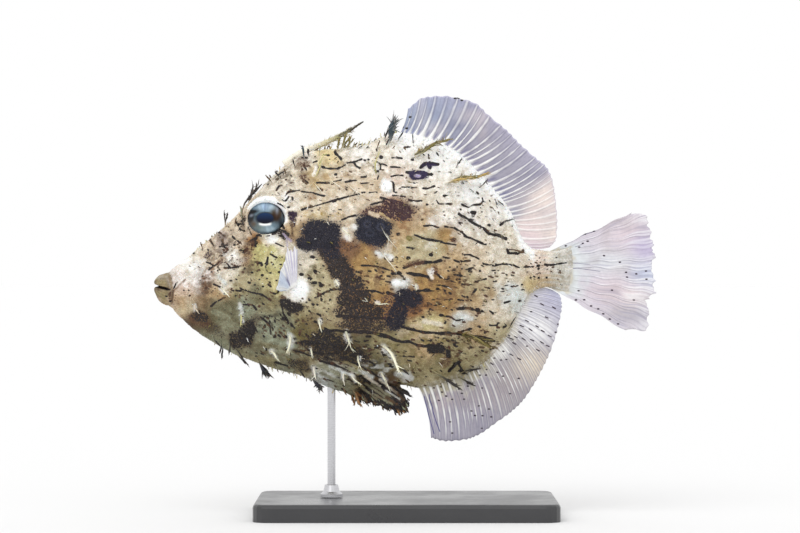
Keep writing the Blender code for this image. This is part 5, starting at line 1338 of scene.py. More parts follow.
def build_skin(finish):
    """The skin from mouth to tail stalk, closed at both ends; gives its grid and its paint back."""
    grid = skin_grid()
    rings, around = grid.shape[:2]
    normals = grid_normals(grid).reshape(-1, 3)
    flat = grid.reshape(-1, 3)
    paint = Paint(flat)
    points = seat_eyes(flat + normals * skin_relief(flat)[:, None])
    shade_skin(paint, flat)
    faces = grid_faces(rings, around, wrap=True)
    ends = []
    for ring, order in ((0, 1), (rings - 1, -1)):
        loop = np.arange(ring * around, (ring + 1) * around)
        middle = len(points) + len(ends)
        ends.append(loop)
        faces += [[int(a), int(b), middle][::order] for a, b in zip(loop, np.roll(loop, -1))]
    points = np.vstack([points] + [points[loop].mean(axis=0) for loop in ends])
    colours = {}
    for key in ("tone", "ink_tone", "ink", "dusk", "pale"):
        values = getattr(paint, key)
        tips = [values[loop].mean(axis=0) for loop in ends]
        colours[key] = np.concatenate((values, np.array(tips)))
    skin = new_piece("skin", points, faces, finish, colours)
    settle(skin, "skin", "head", "trunk", "tail_stalk", "pelvic_flap", "upper_lip", "lower_lip")
    return points[:rings * around].reshape(rings, around, 3), paint


def shade_skin(paint, flat):
    """Colours that follow the form: mouth, gill slits, lids, the fins' roots and the tail stalk."""
    x, _, height = flat.T
    shade_openings(paint, flat)
    for side in (-1, 1):
        shade_lids(paint, flat, side)
    for line, width in LID_MARKS_PX:
        paint.line(line, width)
    hem_streaks(paint, dorsal_fin(), x, back(x) - height, 8.0, 1.0)
    hem_streaks(paint, anal_fin(), x, height - belly(x), 2.6, 0.2)
    streak = np.cos(level_of(x, height) * 8 * math.pi + 2 * noise(flat, 4.0, 48))
    fade = smooth(53, 63, x + 1.6 * streak + 1.5 * noise(flat, 2.6, 47))
    blend(paint.tone, "ash", 0.9 * fade)
    blend(paint.tone, "white", 0.3 * fade * smooth(0.2, 1.0, streak))
    paint.dusk *= 1 - fade


def shade_openings(paint, flat):
    """Khaki lips, and painted shade in the mouth, the nostrils and the gill slits."""
    x, _, height = flat.T
    mouth = smooth(HEAD_FRONT + 2.5, HEAD_FRONT - 1, x)
    lip = 0.3 * linear("bark") + 0.66 * linear("khaki")
    blend(paint.tone, lip, mouth * np.clip(0.75 + 0.5 * noise(flat, 2.2, 61), 0, 1))
    paint.pale *= 1 - mouth
    # Painted shade in the mouth's seam, the gill slits and the nostrils, laid in as dark marks
    seam = mouth * bell(height - seam_height(x), 0.7)
    dark = np.maximum(seam, bell(near_line(x, height, GILL_SLIT), 0.5))
    for at_x, at_height in NOSTRILS:
        dark = np.maximum(dark, bell(np.hypot(x - at_x, height - at_height), 0.6))
    paint.ink = np.maximum(paint.ink, dark)


def shade_lids(paint, flat, side):
    """A white upper lid, frayed at its edge, and painted shade as a dark line where the lids meet the
    eyeball.
    """
    _, _, local, _, rim = lid_place(flat, side)
    here = flat[:, 1] * side > 0
    upper = smooth(-2.0, 1.5, local[:, 2] + 0.4 * local[:, 0])
    reach = 1.14 + 0.4 * smooth(7.0, 3.5, local[:, 0]) * upper
    frayed = rim + 0.09 * noise(flat, 1.5, 62)
    lid = here * smooth(0.97, 1.0, rim) * smooth(reach + 0.1, reach - 0.14, frayed) * (0.06 + 0.94 * upper)
    blend(paint.tone, linear("white") * 1.04, np.clip(lid * 2, 0, 1))
    paint.pale = np.maximum(paint.pale, 0.8 * lid)
    for dark in (paint.ink, paint.dusk):
        dark *= 1 - np.clip(1.6 * lid, 0, 1)
    # Painted shade in the crease where the lids meet the eyeball
    paint.ink = np.maximum(paint.ink, here * smooth(0.97, 0.92, rim) * 0.9)


def hem_streaks(paint, fin, x, depth, reach, strength):
    """White roots of a fin's rays that run into the skin along its base."""
    shares = np.linspace(0, 1, 200)
    bases = fin.base_x(shares)
    share = np.interp(x + 0.5 * depth, bases, shares)
    root = smooth(0.8, 0.3, fin.ray_offset(share, 0 * share))
    close = smooth(reach, 0.8, depth + 0.9 * noise(paint.points, 2.2, 46))
    close = close * smooth(bases[0] - 5, bases[0], x) * smooth(bases[-1] + 2, bases[-1] - 2, x)
    share = strength * close * (0.5 + 0.5 * root)
    blend(paint.tone, "white", share)
    paint.pale = np.maximum(paint.pale, 0.9 * share)
    paint.ink *= 1 - 0.6 * share


def ball():
    """The points and faces of an eyeball that looks along y."""
    polar, around = np.meshgrid(np.linspace(0.0, math.pi, EYE_RINGS)[1:-1],
                                np.arange(EYE_SEGMENTS) * 2 * math.pi / EYE_SEGMENTS, indexing="ij")
    reach = EYE_RADIUS * np.sin(polar)
    along, up = reach * np.cos(around), reach * np.sin(around)
    rings = np.stack((along, EYE_HALF_DEPTH * np.cos(polar), up), axis=-1)
    points = np.vstack((rings.reshape(-1, 3), ((0, EYE_HALF_DEPTH, 0), (0, -EYE_HALF_DEPTH, 0))))
    first = np.arange(EYE_SEGMENTS)
    last = first + (EYE_RINGS - 3) * EYE_SEGMENTS
    count = (EYE_RINGS - 2) * EYE_SEGMENTS
    faces = grid_faces(EYE_RINGS - 2, EYE_SEGMENTS, wrap=True)
    faces += [[count, int(a), int(b)] for a, b in zip(first, np.roll(first, -1))]
    faces += [[count + 1, int(b), int(a)] for a, b in zip(last, np.roll(last, -1))]
    return points, faces


def build_eyes(finish):
    """Eyeballs with a raised iris ring, an oval pupil and a painted reflection, a bright crescent, below
    it.
    """
    points, faces = ball()
    for name, side in (("eye_left", -1), ("eye_right", 1)):
        centre, turn = eye_pose(side)
        shape = points.copy()
        along, up = shape[:, 0], shape[:, 2]
        pupil = np.hypot((along - PUPIL[0]) / PUPIL[2], (up - PUPIL[1]) / PUPIL[3])
        ridge = 0.14 * bell(pupil - 1.25, 0.3) - 0.15 * smooth(1.05, 0.8, pupil)
        shape[:, 1] += (shape[:, 1] > 0) * ridge
        shape[:, 1] *= side
        colours = {"tone": eye_colours(along, up, pupil)}
        turned = [face[::side] for face in faces]
        piece = new_piece(name + "_ball", shape @ turn.T + centre, turned, finish, colours)
        settle(piece, "eyes", name)


def eye_colours(along, up, pupil):
    """Iris, pupil and an outer ring of painted shade under the lids, painted by place on the eyeball."""
    tone = linear("slate") + (linear("sky") - linear("slate")) * 0.24
    tone = np.tile(tone * (0.95, 1.08, 0.86), (len(up), 1))
    # Stains on the iris, and painted highlights at its top
    for (at_x, at_z), (reach_x, reach_z), name, strength in IRIS_STAINS_AND_HIGHLIGHTS:
        stain = strength * bell(along - at_x, reach_x) * bell(up - at_z, reach_z)
        blend(tone, name, np.minimum(stain, 0.96))
    angle = np.arctan2(up - PUPIL[1], along - PUPIL[0])
    streak = noise(np.column_stack((np.cos(angle) * 5, np.sin(angle) * 5, 0.4 * pupil)), 1.0, 71)
    tone *= (0.96 + 0.3 * streak)[:, None] * IRIS_TINT
    middle_x, middle_z, half_x, half_z = EYE_OPENING
    edge = np.hypot((along - middle_x) / half_x, (up - middle_z) / half_z)
    # Painted shade where the eyeball goes under the lids, deeper behind and below
    blend(tone, "ink", smooth(0.84, 0.97, edge) * (0.3 + 0.5 * smooth(-2, 5, along - 0.4 * up)))
    # Painted reflection: a white crescent glint laid on the eyeball just under the pupil
    glint_line = PUPIL[1] - PUPIL[3] - 0.25 + 0.06 * (along - PUPIL[0]) ** 2
    glint = bell(up - glint_line, 0.42) * smooth(3.0, 1.6, np.abs(along - PUPIL[0] - 0.1))
    blend(tone, "soot", 0.8 * bell(pupil - 1.02, 0.13) * (1 - glint))
    hole = smooth(1.02, 0.9, pupil)
    # The pupil's dark, with a painted reflection that turns it blue towards the top
    blend(tone, linear("ink") * 0.8 + PUPIL_SHEEN * smooth(-4.2, 1.2, up)[:, None], hole)
    blend(tone, "white", np.clip(1.1 * glint * (1 - hole), 0, 1))
    return tone


def share_grid(columns, rows):
    """Shares along a fin and out of it, for a grid of points."""
    return np.meshgrid(np.linspace(0, 1, columns), np.linspace(0, 1, rows), indexing="ij")


class Fin:
    """A fin between its base and its edge, given for arrays of shares along it and out of it."""

    def __init__(self, rays, bow=0.0, sway=0.0, waves=0.0, scallop=0.0, branch=0.0, sink=1.6):
        self.rays = rays
        self.bow, self.sway, self.waves = bow, sway, waves
        self.scallop, self.branch, self.sink = scallop, branch, sink

    def ray_offset(self, share, t):
        """Distance from the nearest ray, from 0 on it to 1 midway between two."""
        spot = share * (self.rays - 1) + 0.2 * np.sin(share * 31) + 0.12 * np.sin(share * 67)
        apart = np.abs(spot - np.round(spot)) * 2
        if self.branch:
            apart = np.abs(apart - self.branch * smooth(0.25, 0.9, t))
            apart = np.abs(apart - 0.45 * self.branch * smooth(0.62, 1.05, t))
        return apart

    def threads(self, share, number, waver):
        """Distance from the fine threads between the rays, 0 on a thread."""
        return np.abs(np.sin(share * (self.rays - 1) * number * math.pi + waver))

    def spots(self, share, t):
        start, end = self.base(share), self.edge(share)
        way = end - start
        length = np.linalg.norm(way, axis=-1)
        room = np.maximum(length, 1)
        reach = 1 - self.scallop * smooth(0.05, 0.9, self.ray_offset(share, 0 * t)) / room
        t = t * (reach + self.sink / room) - self.sink / room
        across = np.stack((-way[..., 2], 0 * length, way[..., 0]), axis=-1)
        out = start + way * t[..., None] + across * (self.bow * 4 * t * (1 - t))[..., None]
        out[..., 1] += self.sway * t * np.sin(self.waves * share)
        return out

    def grid(self, columns, rows):
        share, t = share_grid(columns, rows)
        return share, t, self.spots(share, t)


class MarginFin(Fin):
    """A fin along the back line or the belly line."""

    def __init__(self, keys, line, side, rays, **shape):
        super().__init__(rays, **shape)
        self.line = line
        self.side = side
        self.base_x, self.tip_x, self.tip_height = (key_line(keys, column) for column in range(3))

    def base(self, share):
        x = self.base_x(share)
        return np.stack((x, 0 * x, self.line(x) + 0.3 * self.side), axis=-1)

    def edge(self, share):
        return np.stack((self.tip_x(share), 0 * share, self.tip_height(share)), axis=-1)


class TailFin(Fin):
    """The tail fin, whose base wraps the end of the stalk."""

    def base(self, share):
        inner = (share - CAUDAL_WRAP) / (1 - 2 * CAUDAL_WRAP)
        upper, lower = (STALK_REAR - (STALK_REAR - CAUDAL_FORE) * np.clip(1 - near / CAUDAL_WRAP, 0, 1)
                        for near in (share, 1 - share))
        x = np.minimum(upper, lower) - CAUDAL_SINK
        middle = back(x) + (belly(x) - back(x)) * np.clip(inner, 0, 1)
        return np.stack((x, 0 * x, middle), axis=-1)

    def edge(self, share):
        x, height = (key_line(CAUDAL_KEYS, column)(share) for column in range(2))
        return np.stack((x, 0 * share, height), axis=-1)


def sheet(name, node, middle, out, half, finish, paint):
    """A closed thin fin: a grid of points, thickened both ways along out."""
    columns, rows = middle.shape[:2]
    count = columns * rows
    near = (middle - out * half[..., None]).reshape(-1, 3)
    far = (middle + out * half[..., None]).reshape(-1, 3)
    front = grid_faces(columns, rows)
    faces = front + [[index + count for index in face[::-1]] for face in front]
    border = list(range(rows))
    border += [column * rows + rows - 1 for column in range(1, columns)]
    border += [(columns - 1) * rows + row for row in range(rows - 2, -1, -1)]
    border += [column * rows for column in range(columns - 2, 0, -1)]
    faces += [[b, b + count, a + count, a] for a, b in zip(border, border[1:] + border[:1])]
    doubled = {key: np.concatenate((values, values)) for key, values in paint.layers().items()}
    piece = new_piece(name, np.vstack((near, far)), faces, finish, doubled)
    settle(piece, "fins", node)


class FinPaint:
    """Colours of a fin, built up over its grid of points."""

    def __init__(self, spots, ground):
        self.points = spots.reshape(-1, 3)
        self.px, self.py = photo_place(self.points * (1, 0, 1))
        self.tone = np.tile(linear(ground), (len(self.points), 1))
        self.ink = np.zeros(len(self.points))
        self.ink_tone = np.tile(linear("soot"), (len(self.points), 1))

    def wash(self, share, name):
        blend(self.tone, name, np.clip(np.reshape(share, -1), 0, 1))

    def stains(self, stains):
        for x, y, reach_x, reach_y, strength, name in stains:
            self.wash(strength * bell(self.px - x, reach_x) * bell(self.py - y, reach_y), name)

    def line(self, line, width, hue="soot"):
        waver_x, waver_y = (0.5 * noise(self.points, 3, seed) for seed in (81, 82))
        away = near_line(self.px + waver_x, self.py + waver_y, line)
        ink = np.clip(0.5 + (width - away) / 2.0, 0, 1)
        wins = (ink > self.ink)[:, None]
        self.ink_tone = np.where(wins, linear(hue), self.ink_tone)
        self.ink = np.maximum(self.ink, ink)

    def dots(self, places, radius, hue="soot"):
        for x, y in places:
            self.line(((x - 0.6, y), (x + 0.6, y)), radius, hue)

    def layers(self):
        return {"tone": self.tone, "ink": self.ink, "ink_tone": self.ink_tone}


def dorsal_fin():
    return MarginFin(DORSAL_KEYS, back, 1, DORSAL_RAYS, bow=-0.05, sway=1.0, waves=7.0, scallop=0.35)


def anal_fin():
    return MarginFin(ANAL_KEYS, belly, -1, ANAL_RAYS, bow=0.05, sway=1.0, waves=6.0, scallop=0.35)


def margin_half(t, apart):
    """Half the thickness of the dorsal and anal fins: thick at the root and along each ray."""
    half = 0.28 + 0.55 * np.exp(-t * 6) + (0.34 - 0.2 * t) * smooth(0.4, 0.05, apart)
    return half * (1 - 0.55 * smooth(0.97, 1.0, t))


def build_dorsal(finish):
    """Blue-grey in front, pale pink behind, with broad white rays."""
    fin = dorsal_fin()
    share, t, spots = fin.grid(*DORSAL_GRID)
    apart = fin.ray_offset(share, t)
    rear = smooth(0.6, 0.72, share)
    paint = FinPaint(spots, "mist")
    paint.wash(0.9 * smooth(0.36, 0.08, share), "slate")
    paint.wash(0.45 * smooth(0.3, 0.06, share), "sky")
    paint.wash(0.4 * noise(spots, 5.0, 86) + 0.06, "gloom")
    paint.wash(0.5 * noise(spots, 6.0, 99), "shell")
    paint.wash(0.25 * smooth(0.6, 1.0, t), "lavender")
    paint.wash(rear * (0.86 + 0.3 * noise(spots, 5.0, 97)), "shell")
    paint.wash(smooth(0.74, 0.9, share) * smooth(0.8, 0.4, t) * 0.6, "petal")
    paint.stains(DORSAL_STAINS_PX)
    paint.wash(0.35 * smooth(0.88, 1.0, share), "lilac")
    thread = fin.threads(share, 2.5, 0.9 * noise(spots, 4.0, 98))
    paint.wash(0.28 * smooth(0.4, 0.0, thread) * smooth(0.05, 0.3, t), "gloom")
    paint.wash(0.5 * bell(apart - 0.5 + 0.25 * t, 0.16) * (1 - 0.85 * rear), "gloom")
    paint.wash(0.5 * rear * smooth(0.3, 0.05, apart), "white")
    ray = smooth(0.5 - 0.34 * t, 0.26 - 0.22 * t, apart + 0.12 * noise(spots, 3.0, 87))
    faint = np.clip(0.85 + 0.5 * noise(spots, 5.0, 88), 0.3, 1)
    paint.wash(ray * faint * (1 - 0.5 * rear) * (1 - 0.45 * t), "white")
    root = smooth(0.26, 0.02, t + 0.06 * noise(spots, 2.0, 89)) * smooth(1.0, 0.4, apart + 1.2 * t)
    paint.wash(root * (1 - 0.4 * rear), "white")
    paint.wash(0.45 * bell(t - 0.16, 0.08) * smooth(0.6, 0.9, apart) * (1 - rear), "indigo")
    paint.wash(0.7 * smooth(0.965, 1.0, t) * (1 - 0.5 * rear), "lavender")
    paint.dots(DORSAL_DOTS_PX, 1.0)
    sheet("dorsal_fin_sheet", "soft_dorsal_fin", spots, SIDEWAYS, margin_half(t, apart), finish, paint)


def build_anal(finish):
    """Grey and lavender with white rays, skin-coloured at its root, with plum dots and dashes."""
    fin = anal_fin()
    share, t, spots = fin.grid(*ANAL_GRID)
    apart = fin.ray_offset(share, t)
    paint = FinPaint(spots, "veil")
    paint.wash(0.35 * smooth(0.45, 0.2, share), "lavender")
    paint.wash(0.6 * smooth(0.62, 0.8, share), "lavender")
    paint.wash(0.5 * smooth(0.75, 0.95, share), "sky")
    paint.wash(0.9 * smooth(0.62, 0.72, share) * smooth(0.75, 0.3, t), "pearl")
    paint.wash(0.35 * noise(spots, 5.0, 83) + 0.04, "gloom")
    paint.stains(ANAL_STAINS_PX)
    thread = fin.threads(share, 2.5, 0.9 * noise(spots, 4.0, 100))
    paint.wash(0.5 * smooth(0.45, 0.0, thread) * smooth(0.05, 0.25, t), "gloom")
    paint.wash(0.4 * bell(apart - 0.55, 0.18), "mist")
    skin = t + 0.14 * noise(spots, 2.4, 92) - 0.08 * smooth(0.5, 0.3, share)
    paint.wash(0.85 * smooth(0.3, 0.0, skin), "bone")
    paint.wash(0.7 * smooth(0.22, 0.0, skin) * smooth(0.46, 0.32, share), "khaki")
    paint.stains(ANAL_LIGHTS_PX)
    ray = smooth(0.46 - 0.24 * t, 0.24 - 0.16 * t, apart + 0.1 * noise(spots, 3.0, 84))
    faint = np.clip(0.55 + 0.9 * noise(spots, 5.5, 90), 0.1, 1) * (1 - 0.6 * smooth(0.6, 0.75, share))
    paint.wash(0.55 * bell(apart - 0.5 + 0.2 * t, 0.09) * smooth(0.02, 0.2, t), "gloom")
    paint.wash(ray * faint * smooth(1.1, 0.55, t), "white")
    for line in ANAL_LINES_PX:
        paint.line(line, 0.45, "indigo")
    paint.dots(ANAL_DOTS_PX, 0.75, "plum")
    for x, y in ANAL_DASHES_PX:
        paint.line(((x - 1.6, y - 0.8), (x + 1.6, y + 0.9)), 0.62, "plum")
    sheet("anal_fin_sheet", "anal_fin", spots, SIDEWAYS, margin_half(t, apart), finish, paint)


def build_caudal(finish):
    """Pale haze with fine grey threads, branched rays, a skin-coloured root and a ragged edge."""
    fin = TailFin(CAUDAL_RAYS, sway=0.9, waves=5.0, scallop=0.8, branch=0.42, sink=0.0)
    share, t, spots = fin.grid(*CAUDAL_GRID)
    fray = noise(np.stack((share * 60, 0 * share, 0 * share), -1), 1.0, 91)
    spots[..., 0] -= 1.4 * smooth(0.8, 1.0, t) * (0.5 + 0.5 * fray)
    spots[..., 2] += 0.35 * np.sin(spots[..., 0] * 0.55 + share * 9) * smooth(0.1, 0.4, t)
    apart = fin.ray_offset(share, t)
    paint = FinPaint(spots, "haze")
    paint.stains(CAUDAL_STAINS_PX)
    paint.wash(0.45 * bell(apart - 0.28, 0.14) * np.clip(0.7 + noise(spots, 6.0, 93), 0, 1), "steel")
    thread = fin.threads(share, 3.0, 0.8 * noise(spots, 5.0, 94))
    paint.wash(0.5 * smooth(0.3, 0.0, thread) * smooth(0.05, 0.3, t), "steel")
    paint.wash(0.7 * smooth(0.2, 0.04, apart) * np.clip(0.7 + noise(spots, 6.0, 95), 0, 1), "pearl")
    paint.wash(0.85 * smooth(0.34, 0.04, t + 0.08 * noise(spots, 2.5, 96)), "frost")
    paint.wash(0.3 * noise(spots, 4.0, 101) * smooth(0.1, 0.4, t), "taupe")
    paint.stains(CAUDAL_TINTS_PX)
    paint.wash(0.9 * smooth(0.14, 0.04, t + 0.05 * noise(spots, 2.0, 102)), "ash")
    paint.wash(0.4 * smooth(0.12, 0.03, t + 0.08 * noise(spots, 1.6, 103)), "straw")
    for line in CAUDAL_LINES_PX:
        paint.line(line, 0.3, "gloom")
    paint.dots(CAUDAL_DOTS_PX, 0.8, "plum")
    half = 0.14 + 0.3 * smooth(0.0, 0.14, t) + 0.2 * bell(t - 0.16, 0.12)
    half += (0.3 - 0.16 * t) * smooth(0.4, 0.05, apart) * smooth(0.04, 0.2, t)
    half *= 1 - 0.55 * smooth(0.97, 1.0, t)
    sheet("caudal_fin_sheet", "caudal_fin", spots, SIDEWAYS, half, finish, paint)


def pectoral_shape(side):
    """Shares, points and outward directions of a pectoral fin, and the distance from its nearest ray."""
    top, foot = [on_flank(x, y, side, 0.2) for x, y in PECTORAL_BASE_PX]
    tips = [on_flank(x, y, side, lift) for x, y, lift in PECTORAL_TIPS_PX]
    share, t = share_grid(*PECTORAL_GRID)
    bent = np.stack([key_line(tips, axis)(share) for axis in range(3)], axis=-1)
    base = top + (foot - top) * share[..., None]
    spot = share * (PECTORAL_RAYS - 1)
    between = np.abs(spot - np.round(spot)) * 2
    ragged = 1 - 0.07 * between + 0.06 * np.sin(share * 23) + 0.04 * np.sin(share * 61)
    spots = base + (bent - base) * ((t * 1.06 - 0.06) * ragged)[..., None]
    spots[..., 1] += side * 0.5 * np.sin(share * 9) * t
    out = np.cross(np.gradient(spots, axis=1), np.gradient(spots, axis=0))
    out /= np.maximum(np.linalg.norm(out, axis=-1, keepdims=True), 1e-9)
    return share, t, spots, out, np.abs(between - 0.36 * smooth(0.5, 1.0, t))


def build_pectorals(finish):
    """Two small fans that stand out from the flank, white-rayed and faintly blue."""
    for name, side in (("pectoral_fin_left", -1), ("pectoral_fin_right", 1)):
        share, t, spots, out, apart = pectoral_shape(side)
        paint = FinPaint(spots, "pearl")
        paint.wash(0.3 * noise(spots, 1.6, 85) + 0.1, "lavender")
        paint.wash(0.75 * smooth(0.5, 0.68, share), "sky")
        paint.wash(0.7 * bell(apart - 0.6, 0.25) * smooth(0.7, 0.5, share), "lavender")
        paint.wash(0.5 * bell(share - 0.2, 0.1) * smooth(0.3, 0.6, t), "lilac")
        paint.wash(0.9 * smooth(0.4, 0.15, apart) * smooth(0.7, 0.6, share), "white")
        paint.wash(0.9 * bell(share - 0.86, 0.07), "white")
        paint.wash(0.85 * bell(share - 0.6, 0.035) * smooth(0.75, 0.35, t), "indigo")
        paint.wash(0.6 * smooth(0.04, 0.01, share) * smooth(0.3, 0.5, t), "gloom")
        paint.wash(0.9 * smooth(0.2, 0.05, t), "white")
        half = 0.22 + 0.4 * np.exp(-t * 5) + (0.2 - 0.12 * t) * smooth(0.5, 0.1, apart)
        sheet(name + "_sheet", name, spots, out, half, finish, paint)


Plan = namedtuple("Plan", "root way length hue thick forks side")


def tassel_kind(hue, thick):
    if thick > BUSHY_TASSEL:
        return "bushy"
    if hue in LEAFY_TASSELS:
        return "leafy"
    return "pale" if hue in PALE_TASSELS else "plain"


def stem_radii(kind, thick, share):
    """A pale stem tapers; others swell before the tip, bushy ones the most."""
    if kind == "pale":
        return thick * (1.2 - 0.95 * share ** 1.3)
    swell = (0.62 + 0.5 * smooth(0.3, 0.75, share)) * (1 - 0.8 * smooth(0.8, 1.0, share))
    return thick * (swell * (0.55 + 0.75 * share) if kind == "bushy" else swell)


def unit(way):
    way = np.asarray(way, float)
    return way / max(np.linalg.norm(way), 1e-9)


class Tubes:
    """Many thin closed tubes joined into one mesh, each with its own bake patch."""

    def __init__(self, steps, sides, flat=1.0):
        self.steps = steps
        self.sides = sides
        self.flat = flat
        self.lines, self.radii, self.tones, self.patches = [], [], [], []

    def add(self, line, radii, tones, patch):
        self.lines.append(line)
        self.radii.append(radii)
        self.tones.append(tones)
        self.patches.append(patch)

    def build(self, name, finish):
        lines, radii = np.array(self.lines), np.array(self.radii)
        number = len(lines)
        way = np.gradient(lines, axis=1)
        way /= np.maximum(np.linalg.norm(way, axis=-1, keepdims=True), 1e-9)
        first = np.cross(way, np.where(np.abs(way[:, :1, 2:]) < 0.8, (0.0, 0.0, 1.0), (1.0, 0.0, 0.0)))
        first /= np.maximum(np.linalg.norm(first, axis=-1, keepdims=True), 1e-9)
        second = np.cross(way, first) * self.flat
        angle = np.arange(self.sides) * 2 * math.pi / self.sides
        turn = first[:, :, None] * np.cos(angle)[:, None] + second[:, :, None] * np.sin(angle)[:, None]
        points = (lines[:, :, None] + radii[:, :, None, None] * turn).reshape(-1, 3)
        each = np.array(grid_faces(self.steps, self.sides, wrap=True))
        ring = np.arange(self.sides)
        starts = (np.arange(number) * self.steps * self.sides)[:, None]
        faces = (starts[:, :, None] + each[None]).reshape(-1, 4).tolist()
        faces += (starts + ring).tolist() + (starts + (self.steps - 1) * self.sides + ring[::-1]).tolist()
        tones = np.repeat(np.array(self.tones)[:, :, None], self.sides, axis=2).reshape(-1, 3)
        u, v = np.linspace(-0.5, 0.5, self.steps), np.linspace(-0.5, 0.5, self.sides)
        spread = np.stack(np.meshgrid(u, v, indexing="ij"), axis=-1) * PATCH
        patches = (np.array(self.patches)[:, None, None] + spread).reshape(-1, 2)
        return new_piece(name, points, faces, finish, {"tone": tones}, patches)


class Tassels:
    """Branching skin flaps, drawn as stems with side twigs."""

    def __init__(self, seed):
        self.chance = random.Random(seed)
        self.tubes = {-1: Tubes(6, 5, 0.6), 1: Tubes(6, 5, 0.6)}

    def stray(self, spread):
        return np.array([self.chance.gauss(0, spread) for _ in range(3)])

    def grow(self, plan, base):
        """A stem that runs from the skin's colour to its own, with its side twigs."""
        root, way, length, hue, thick, forks, side = plan
        chance, tubes = self.chance, self.tubes[side]
        patch = skin_patch(root[0], root[2], side)
        kind = tassel_kind(hue, thick)
        bend, low, spread, reach = TASSEL_KINDS[kind]
        way, tip = unit(way), linear(hue)
        curl = self.stray(bend) * length
        if kind == "pale" and thick > THIN_TASSEL:
            base = base + (tip - base) * 0.55
        stem = base * 0.45 + tip * 0.55
        share = np.linspace(0, 1, tubes.steps)
        across = unit(np.cross(way, (0.0, 1.0, 0.0))) * chance.uniform(-0.09, 0.09) * length
        bent = (share ** 2)[:, None] * curl + np.sin(share * 4.4)[:, None] * across
        line = root - way * 0.5 + way * (length + 0.5) * share[:, None] + bent
        shade = smooth(0.05, 0.6, share)[:, None]
        tones = base + (stem - base) * np.clip(shade * 2, 0, 1) + (tip - stem) * shade
        tubes.add(line, stem_radii(kind, thick, share), tones, patch)
        for _ in range(forks + 2 if kind == "pale" else 2 * forks):
            at = chance.uniform(low, 0.96)
            start = root + way * length * at + curl * at ** 2
            lean = unit(way + self.stray(spread))
            run = length * chance.uniform(0.1, 0.24) * reach
            twist = self.stray(0.18) * run
            twig = start + lean * run * share[:, None] + twist * (share ** 2)[:, None]
            size = thick * (0.8 - 0.35 * at) * chance.uniform(0.6, 1.0) * (0.85 if kind == "pale" else 1.0)
            shades = np.tile(stem * 0.3 + tip * 0.7, (len(share), 1)) * chance.uniform(0.5, 1.3)
            tubes.add(twig, size * (1 - 0.85 * share ** 1.6), shades, patch)


def placed_plans(chance, side):
    """The tassels seen in the photograph, each shifted a little on the far side."""
    jitter = 0.0 if side < 0 else FAR_SHIFT_PX
    for root, tip, hue, thick, forks in TASSELS_PX:
        start = on_flank(root[0] + chance.gauss(0, jitter), root[1] + chance.gauss(0, jitter), side)
        run = np.array((tip[0] - root[0], 0.0, root[1] - tip[1])) * PIXEL
        length = np.linalg.norm(run)
        way = run + (0.0, 0.35 * flank_normal(start[0], start[2], side)[1] * length, 0.0)
        yield Plan(start, way, length * 1.06, hue, thick, forks, side)


def small_plans(chance, side):
    """Small tassels scattered over a flank."""
    for _ in range(SMALL_TASSELS):
        x, height = chance.uniform(-88, 58), chance.uniform(-54, 46)
        if not belly(x) + 2 < height < back(x) - 2 or bare(x, height):
            continue
        start = np.array((x, side * float(flank(x, height)), height))
        way = flank_normal(x, height, side) * 0.7 + (0.55, 0.0, chance.gauss(-0.15, 0.4))
        hue = chance.choice(("soot", "soot", "umber", "olive", "bone", "cream", "white", "khaki"))
        yield Plan(start, way, chance.uniform(0.9, 2.6), hue, chance.uniform(0.16, 0.3), 3, side)


def fringe_plans(chance):
    """Tassels that fringe the back, then the belly, longer from head to trunk."""
    fringes = ((BACK_FRINGE, back, 1, -84, -4), (BELLY_FRINGE, belly, -1, -82, 44))
    for number, line, sign, low, high in fringes:
        for _ in range(number):
            x = low + (high - low) * chance.random() ** 1.5
            side = chance.choice((-1, 1))
            start = np.array((x, side * chance.uniform(0.2, 1.6), float(line(x)) - 0.4 * sign))
            way = (chance.gauss(0.35, 0.4), side * chance.uniform(0.0, 0.6), sign)
            hue = chance.choice(("soot", "umber", "olive", "lime", "bone", "bone", "khaki", "straw"))
            length = chance.uniform(1.0, 3.0) * (0.5 + 0.5 * float(smooth(-74, -36, x)))
            yield Plan(start, way, length, hue, chance.uniform(0.2, 0.4), 4, side)


def hem_plans(chance):
    """A ragged fringe along the pelvic flap's hem."""
    flap_front, flap_rear = FLAP_KEYS[0][0], FLAP_KEYS[-1][0]
    for _ in range(FLAP_FRINGE):
        share = chance.random() ** 0.7
        hem_x, hem, _ = hem_of(flap_front + share * (flap_rear - flap_front))
        side = chance.choice((-1, 1))
        start = np.array((float(hem_x), side * 0.3, float(hem) + chance.uniform(0.2, 3.0)))
        way = (chance.uniform(0.2, 0.9), side * chance.uniform(0.0, 0.5), -1.0)
        hue = chance.choice(("soot", "soot", "ink", "rust", "umber", "sage"))
        yield Plan(start, way, chance.uniform(0.8, 2.6), hue, chance.uniform(0.25, 0.6), 3, side)


def flank_normal(x, height, side):
    """The flank's outward direction."""
    step = 0.4
    slope_x = float(flank(x + step, height) - flank(x - step, height)) / (2 * step)
    slope_h = float(flank(x, height + step) - flank(x, height - step)) / (2 * step)
    return unit((-slope_x, side, -slope_h))


def skin_patch(x, height, side):
    """Where a root lies on the unwrap of the skin: along the fish, and round it from the back."""
    u = (x - MOUTH_FRONT) / (STALK_REAR - MOUTH_FRONT)
    v = math.acos(float(level_of(x, height))) / math.pi * 0.46
    return (0.01 + 0.98 * u, 0.02 + v if side < 0 else 0.98 - v)


def bare(x, height):
    """Whether a place carries no loose tassels: eye, lips and the pectoral fin."""
    front, rear, low, high = FIN_CLEAR
    eye = math.hypot(x - EYE_AT[0], height - EYE_AT[1]) < EYE_CLEAR
    return eye or x < LIPS_CLEAR or (front < x < rear and low < height < high)


